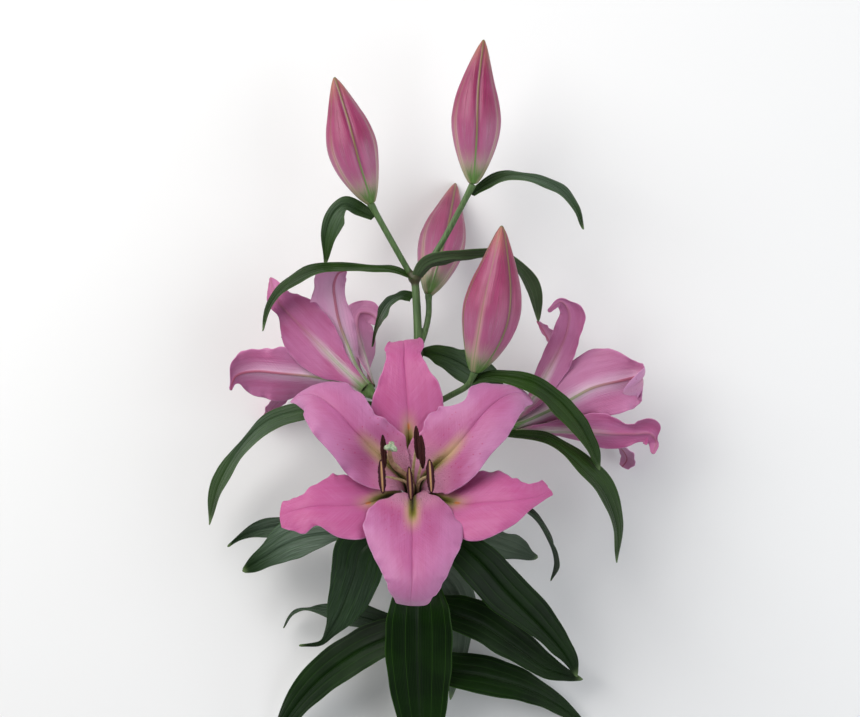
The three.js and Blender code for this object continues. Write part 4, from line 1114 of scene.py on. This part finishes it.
def bud(name, line, radius, turned):
    piece, x, y, z = unit_ball(name, BUD_SEGMENTS, BUD_RINGS)
    share = 1 - np.arccos(np.clip(z, -1, 1)) / math.pi
    angle = np.degrees(np.arctan2(y, x))
    places, row = np.unique(np.round(share, 5), return_inverse=True)
    ribs = read_stations(line, places)
    forward, up = follow(ribs, (0, 0, 1))
    side = np.cross(forward, up)
    rounded = np.sqrt(np.clip(places / 0.02, 0, 1)) * np.sqrt(np.clip((1 - places) / 0.012, 0, 1))
    swell = (np.maximum(read_list(BUD_PROFILE, places), LEAST_SWELL) * rounded)[row]

    line_at = (angle - turned) / LINE_APART
    nearest = np.rint(line_at)
    is_ridge = (nearest % 2 == 0).astype(float)
    aside = np.radians((line_at - nearest) * LINE_APART) * radius * swell
    depth = np.sin(math.pi * np.clip(share, 0, 1)) ** 0.6 * np.clip(swell * 3, 0, 1)
    groove = -(0.9 + 0.5 * is_ridge) * hump(aside, 2.6)
    ridge = 1.1 * is_ridge * hump(aside, 0.75)
    bulge = 0.5 * np.cos(np.radians(line_at * LINE_APART) * 3 + math.pi)
    tip_gap = -1.2 * hump(aside, 0.9) * np.clip((share - 0.93) / 0.05, 0, 1) * swell
    width = radius * swell + (groove + ridge + bulge) * depth + tip_gap
    around = np.radians(angle)[:, None]
    points = ribs[row] + width[:, None] * (up[row] * np.cos(around) + side[row] * np.sin(around))
    points[:, 2] = np.maximum(points[:, 2], 0.2)  # the floor is never pierced
    write_points(piece, in_frame(points))
    length = np.linalg.norm(np.subtract(line[-1], line[0]))
    note(piece, "lie", aside, share * length, is_ridge)
    note(piece, "zone", share, angle / 180, 0.0)
    piece.data.materials.append(BUD_SKIN)
    edit_all(piece, bpy.ops.mesh.normals_make_consistent, inside=False)
    return piece


for node, layout in BUDS.items():
    piece = bud(node + "_skin", *layout)
    hand_over(piece, node, "bud")
print(len(BUDS), "buds made, each of", len(piece.data.polygons), "faces")

# %% [markdown]
# ## The stem
# The stem, its forks and the swollen foot of each bloom grew as one, with no seam anywhere. Each is
# drawn as a curve with a round bevel, and a voxel remesh then melts them into one skin, which a
# little smoothing rounds where stalks leave the stem. The cut end is sliced flat by a bisect.

# %% The finish of the stem
def stem_finish():
    material, tree = surface("stem_skin", Roughness=0.5, Specular_IOR_Level=0.4)
    _, collar, foot, pale = noted(tree, "growth")
    place = object_place(tree)
    pulled = tree.nodes.new("ShaderNodeMapping")
    feed(pulled.inputs["Vector"], place)
    pulled.inputs["Scale"].default_value = (1 / MM, 0.06 / MM, 1 / MM)
    ribs = add(tree, "TexNoise", pulled.outputs[0], None, 0.9, 3.0, 0.5)
    colour = coats(
        mix(ease(ribs, 0.3, 0.7), (54, 80, 40), (82, 108, 62)),
        ((78, 104, 58), shared(BLOTCHES, place, 12.0), 0.3),
        ((92, 126, 58), pale, 0.55),
        ((64, 84, 52), foot, 0.35),
        ((58, 46, 32), ease(plus(collar, both(ribs, 0.5)), 0.75, 1.15), 0.75),
    )
    return dress(material, colour, ribs, 0.35)


def cut_finish():
    material, tree = surface("cut_pith", Roughness=0.7, Specular_IOR_Level=0.3)
    pores = add(tree, "TexVoronoi", object_place(tree), None, 2200.0)
    grain = ease(pores, 0.1, 0.5)
    return dress(material, mix(grain, (196, 204, 150), (166, 182, 116)), grain, 0.15)


STEM_SKIN = stem_finish()
CUT_PITH = cut_finish()
print("stem finishes:", STEM_SKIN.name, CUT_PITH.name)

# %% The stem's lines
STEM_SIDES = 10
STEM_END_RADIUS, STEM_TOP_RADIUS = 5.0, 2.9
STEM_REST_HEIGHT = STEM_END_RADIUS * math.cos(math.pi / STEM_SIDES)
CUT_END, STEM_TOP = -310.0, 144.0
STEM_LINE = [
    (-8, -258, STEM_REST_HEIGHT), (-8, -205, 12), (-8, -150, 30), (-8.5, -100, 46),
    (-8.5, -50, 60), (-8.5, 0, 70), (-8.5, 50, 77), (-8.5, 100, 79), (-11, 144, 78),
]
STALKS = [
    [(-11, 143, 78), (-16, 150, 79), (-28, 171, 81), (-42, 196, 84)],
    [(-10, 143, 78), (-4, 150, 78), (9, 170, 78), (20, 190, 80), (30, 209, 84)],
    [(-9, 92, 79), (-4, 104, 77), (-1, 118, 72), (-1, 131, 66)],
    [(-8, 44, 76), (0, 52, 82), (14, 60, 90), (26, 67, 96), (31, 76, 100)],
    [(-8, -34, 64), (-9, -30, 76), (-11, -20, 86), (-12, -9, 95)],
    [(-9, 30, 74), (-20, 43, 80), (-31, 52, 84), (-41, 61, 82.5)],
    [(-8, 14, 72), (14, 23, 78), (36, 30, 83), (53, 35.5, 81)],
]
STALK_RADIUS = 2.3
COLLARS = [
    ((-11, 144, 78), 4.8), ((-8.5, 90, 79), 4.2), ((-8.5, 42, 76), 4.4), ((-8.5, 22, 73.5), 4.6),
]
print(len(STALKS), "stalks leave the stem, most of them at one of", len(COLLARS), "collars")

# %% The stem
def tube(points, radii):
    """A curve with a round bevel of its own radius at each point, made a mesh."""
    bpy.ops.curve.primitive_bezier_curve_add()
    curve = bpy.context.object.data
    curve.splines.clear()
    spline = curve.splines.new("POLY")
    spline.points.add(len(points) - 1)
    for knot, place, radius in zip(spline.points, in_frame(points), radii):
        knot.co = (*place, 1)
        knot.radius = radius
    curve.bevel_depth = MM
    curve.bevel_resolution = 5
    curve.use_fill_caps = True
    bpy.ops.object.convert(target="MESH")
    return bpy.context.object


def ball(place, radius):
    bpy.ops.mesh.primitive_uv_sphere_add(
        segments=32, ring_count=16, radius=radius * MM, location=in_frame(place)
    )
    bpy.ops.object.transform_apply(location=True)
    return bpy.context.object


def stem_parts():
    line = read_stations(STEM_LINE, np.linspace(0, 1, 120))
    straight = [(-8, y, STEM_REST_HEIGHT) for y in np.linspace(CUT_END - 4, -260, 12)]
    line = np.concatenate([straight, line])
    line[:, 0] += 0.25 * np.sin(line[:, 1] / 17)  # no stem is quite straight
    radii = np.interp(line[:, 1], (CUT_END, STEM_TOP), (STEM_END_RADIUS, STEM_TOP_RADIUS))
    yield tube(line, radii)
    for stalk in STALKS:
        places = np.linspace(0, 1, 24)
        line = read_stations(stalk, places)
        line[-1] += 1.3 * unit(line[-1] - line[-2])  # smoothing takes this much from the end
        yield tube(line, STALK_RADIUS * (1 + 0.2 * hump(places, 0.15) + 0.25 * hump(places - 1, 0.08)))
    for bloom in blooms.values():
        heights = np.linspace(-11, -0.5, 10)
        yield tube([bloom.place(h) for h in heights], np.interp(heights, (-11, -4, -1), (2.4, 5, 6)))
    for place, radius in COLLARS:
        yield ball(place, radius)


stem = join("stem_skin", *stem_parts())
stem.data.materials.clear()
stem.data.materials.append(STEM_SKIN)
apply_modifier(stem, "REMESH", mode="VOXEL", voxel_size=0.75 * MM)
apply_modifier(stem, "SMOOTH", factor=0.5, iterations=5)
print("melted into one skin of", len(stem.data.polygons), "faces")

# %% The cut end and what the stem's points know
COLLAR_FADE, STEM_FADE, BLOOM_FADE = 5, 300, 22  # mm over which each of the three notes fades

cut_place = in_frame((0, CUT_END, 0))
cut = dict(plane_co=cut_place, plane_no=(0, -1, 0), use_fill=True, clear_outer=True)
edit_all(stem, bpy.ops.mesh.bisect, **cut)
points = read_points(stem)
points[:, 2] = np.maximum(points[:, 2], 0.0)
write_points(stem, points)
stem.data.materials.append(CUT_PITH)
facing = (face for face in stem.data.polygons if face.normal.y < -0.9)
cut_faces = [face for face in facing if abs(face.center.y - cut_place[1]) < 1e-5]
for face in cut_faces:
    face.material_index = 1
plant = points / MM + FOOTPRINT
to_collar = np.min([np.linalg.norm(plant - place, axis=1) - r for place, r in COLLARS], axis=0)
to_bloom = np.min([np.linalg.norm(plant - b.foot, axis=1) for b in blooms.values()], axis=0)
growth = (1 - to_collar / COLLAR_FADE, -plant[:, 1] / STEM_FADE, 1 - to_bloom / BLOOM_FADE)
note(stem, "growth", *(np.clip(column, 0, 1) for column in growth))
hand_over(stem, "stem", "stem")
print("cut end of", len(cut_faces), "face")

# %% [markdown]
# ## Stamens and pistils
# Inside each bloom six filaments rise round the style and part, each carrying an anther by its
# middle. The anther is two long sacs of dark pollen with a seam between them, cream where it is
# still bare. Its "lie" holds the millimetres beside the seam and along it, and how far the cream
# shows. The style is thicker and bends to one side, and ends in a stigma of three rounded lobes,
# pale and sticky.

# %% Finishes for stamens and pistils
def plain_finish(name, low, high, size, depth, **constants):
    """A skin that wavers between two colours, with a grain of the same size in mm."""
    material, tree = surface(name, **constants)
    noise = add(tree, "TexNoise", object_place(tree), None, 1 / (size * MM), 3.0, 0.6)
    return dress(material, mix(ease(noise, 0.35, 0.65), low, high), noise, depth)


def pollen_finish():
    material, tree = surface("anther_pollen", Roughness=0.85, Specular_IOR_Level=0.25)
    _, aside, _, stripe = noted(tree, "lie")
    grains = add(tree, "TexNoise", object_place(tree), None, 1900.0, 3.0, 0.7)
    colour = coats(
        mix(ease(grains, 0.35, 0.7), (22, 4, 4), (66, 15, 14)),
        ((54, 14, 36), ease(aside, 2.3, 1.5), stripe),
        ((168, 124, 88), ease(plus(aside, both(grains, 0.5)), 1.35, 0.75), stripe),
        ((198, 168, 120), ease(aside, 0.6, 0.15), stripe, 0.5),
    )
    return dress(material, colour, grains, 0.4)


FILAMENT = plain_finish("filament_skin", (160, 146, 104), (188, 174, 134), 3.0, 0.15, Roughness=0.45)
STYLE = plain_finish("style_skin", (126, 100, 72), (158, 132, 100), 4.0, 0.15, Roughness=0.45)
WAXY = dict(Roughness=0.35, Subsurface_Weight=0.1)
STIGMA = plain_finish("stigma_lobes", (112, 128, 100), (152, 166, 138), 1.4, 0.25, **WAXY)
POLLEN = pollen_finish()
print("stamen and pistil finishes:", [m.name for m in (FILAMENT, STYLE, STIGMA, POLLEN)])

# %% Filaments, anthers and pistils
# How far along a bloom's axis a filament has its root, its waist and its tip, and how far out.
STAMEN_ROOT, STAMEN_WAIST, SIDE_STAMEN_TIP = (-0.8, 3.3), (26.0, 4.7), (58.8, 14)
STIGMA_TURN, STIGMA_RADIUS = 80.0, 5.2
ANTHER_LENGTH, ANTHER_HALF_DEPTH, ANTHER_BEND = 23.5, 1.8, 0.6
FRONT_ANTHERS = [  # the middle, the filament's azimuth and elbow, the half width, and a bare stripe
    ((-31.7, 22.7, 147), 150, 1.0, 2.1, 0.0), ((-32.7, 6, 154), 210, -1.5, 2.6, 0.9),
    ((-8.9, 28.8, 143), 90, 1.0, 2.1, 0.0), ((-5.5, 22.7, 151), 30, 1.0, 2.3, 0.0),
    ((0.3, 6.3, 155), -30, -1.5, 2.8, 0.9), ((-13.6, 1.5, 158), -90, 1.0, 2.2, 0.6),
]
FRONT_ANTHER_WAY = (0.06, -1, 0)
BUMPS = ((9, 4, 0.05), (23, -7, 0.04), (37, 9, 0.03), (53, 5, 0.03))  # along, aside and how high
STYLE_PATHS = {
    "front": [(0, 0, 0), (14, 0, 0), (27, -1.5, 0), (40, -6, -0.5), (52, -12.5, -0.6),
              (64, -15.3, 2.9), (72, -14.5, 5.6)],
    "left": [(0, 0, 0), (20, 0, 0), (40, 1, 1), (60, 3, 2), (74, 6, 3)],
    "right": [(0, 0, 0), (20, 0, 0), (40, 1, -1), (60, 3, -2), (74, 6, -3)],
}


def filament(points):
    places = np.linspace(0, 1, 40)
    thing = tube(read_stations(points, places), np.interp(places, (0, 0.7, 1), (1.25, 0.95, 0.55)))
    thing.data.materials.append(FILAMENT)
    return thing


def upright(direction, way):
    """A direction made square to a way, and the third direction square to both."""
    square = unit(direction - way * (direction @ way))
    return square, np.cross(way, square)


def anther(name, middle, way, top, half_width, stripe):
    """A ball drawn out into two sacs, with its seam towards the given top."""
    piece, x, y, z = unit_ball(name, 40, 64)
    way = unit(np.array(way, float))
    top, side = upright(np.array(top, float), way)
    ring = np.maximum(np.hypot(x, y), 1e-6)
    fullness = np.clip(1 - np.abs(z) ** 2.6, 0, 1) ** 0.6 / ring
    x, y = x * fullness, y * fullness
    y = y - 0.45 * hump(x, 0.22) * (y > 0)
    bumps = 1 + sum(size * np.sin(z * fast + x * aside + middle[0] * fast) for fast, aside, size in BUMPS)
    across = x * half_width * bumps
    up = y * ANTHER_HALF_DEPTH * bumps - ANTHER_BEND * z**2
    along = z * ANTHER_LENGTH / 2
    points = np.array(middle, float) + np.outer(along, way) + np.outer(across, side) + np.outer(up, top)
    write_points(piece, in_frame(points))
    note(piece, "lie", np.abs(across) * (1.1 + 1.6 * z**4) + (y < 0) * 5, along, stripe)
    piece.data.materials.append(POLLEN)
    return piece


def filament_line(bloom, azimuth):
    """The way outward, and a side bloom's filament from its root to its waist and its tip."""
    out = bloom.outward(azimuth)
    heights = (STAMEN_ROOT, STAMEN_WAIST, SIDE_STAMEN_TIP)
    return out, *(bloom.place(along) + out * away for along, away in heights)


def front_stamens(bloom):
    for index, (middle, azimuth, bend, half_width, stripe) in enumerate(FRONT_ANTHERS):
        out, root, waist, _ = filament_line(bloom, azimuth)
        end = np.array(middle, float) - (0, 0, ANTHER_HALF_DEPTH * 0.6)
        elbow = waist + (end - waist) * 0.6 + out * bend
        yield filament([root, waist, elbow, end])
        node = f"front_anther_{index + 1}"
        sacs = anther(node + "_sacs", middle, FRONT_ANTHER_WAY, (0, 0, 1), half_width, stripe)
        hand_over(sacs, node, "anther")


def side_stamens(bloom):
    for azimuth in range(30, 390, 60):
        out, root, waist, tip = filament_line(bloom, azimuth)
        yield filament([root, waist, waist + (tip - waist) * 0.5 - out, tip])
        yield anther("sacs", tip + bloom.axis, bloom.axis * 0.8 + out * 0.6, bloom.axis, 2.2, 0.0)


def pistil(bloom, path):
    places = np.linspace(0, 1, 50)
    line = [bloom.place(*row) for row in read_stations(path, places)]
    style = tube(line, np.interp(places, (0, 0.25, 0.3, 0.9, 1), (1.9, 1.9, 1.6, 1.5, 2.2)))
    style.data.materials.append(STYLE)
    lobes, x, y, z = unit_ball("lobes", 72, 36)
    way = unit(line[-1] - line[-3])
    first, second = upright(bloom.outward(STIGMA_TURN), way)
    angle = np.arctan2(y, x)
    spread = STIGMA_RADIUS * (0.74 + 0.26 * np.cos(3 * angle))
    cleft = -1.3 * hump(np.abs(np.mod(angle * 3 / (2 * math.pi) + 0.5, 1) - 0.5), 0.14) * (z > 0)
    ring = np.hypot(x, y)
    height = 0.4 + z * 2.4 + cleft * ring - 1.2 * (1 - ring)
    points = line[-1] + sum(map(np.outer, (height, x * spread, y * spread), (way, first, second)))
    write_points(lobes, in_frame(points))
    lobes.data.materials.append(STIGMA)
    return [style, lobes]


for name, bloom in blooms.items():
    stamens = front_stamens(bloom) if name == "front" else side_stamens(bloom)
    hand_over(join(f"{name}_filaments_fine", *stamens), f"{name}_filaments", "filament")
    hand_over(join(f"{name}_pistil_fine", *pistil(bloom, STYLE_PATHS[name])), f"{name}_pistil", "pistil")
print("stamens and pistils made for", list(blooms))
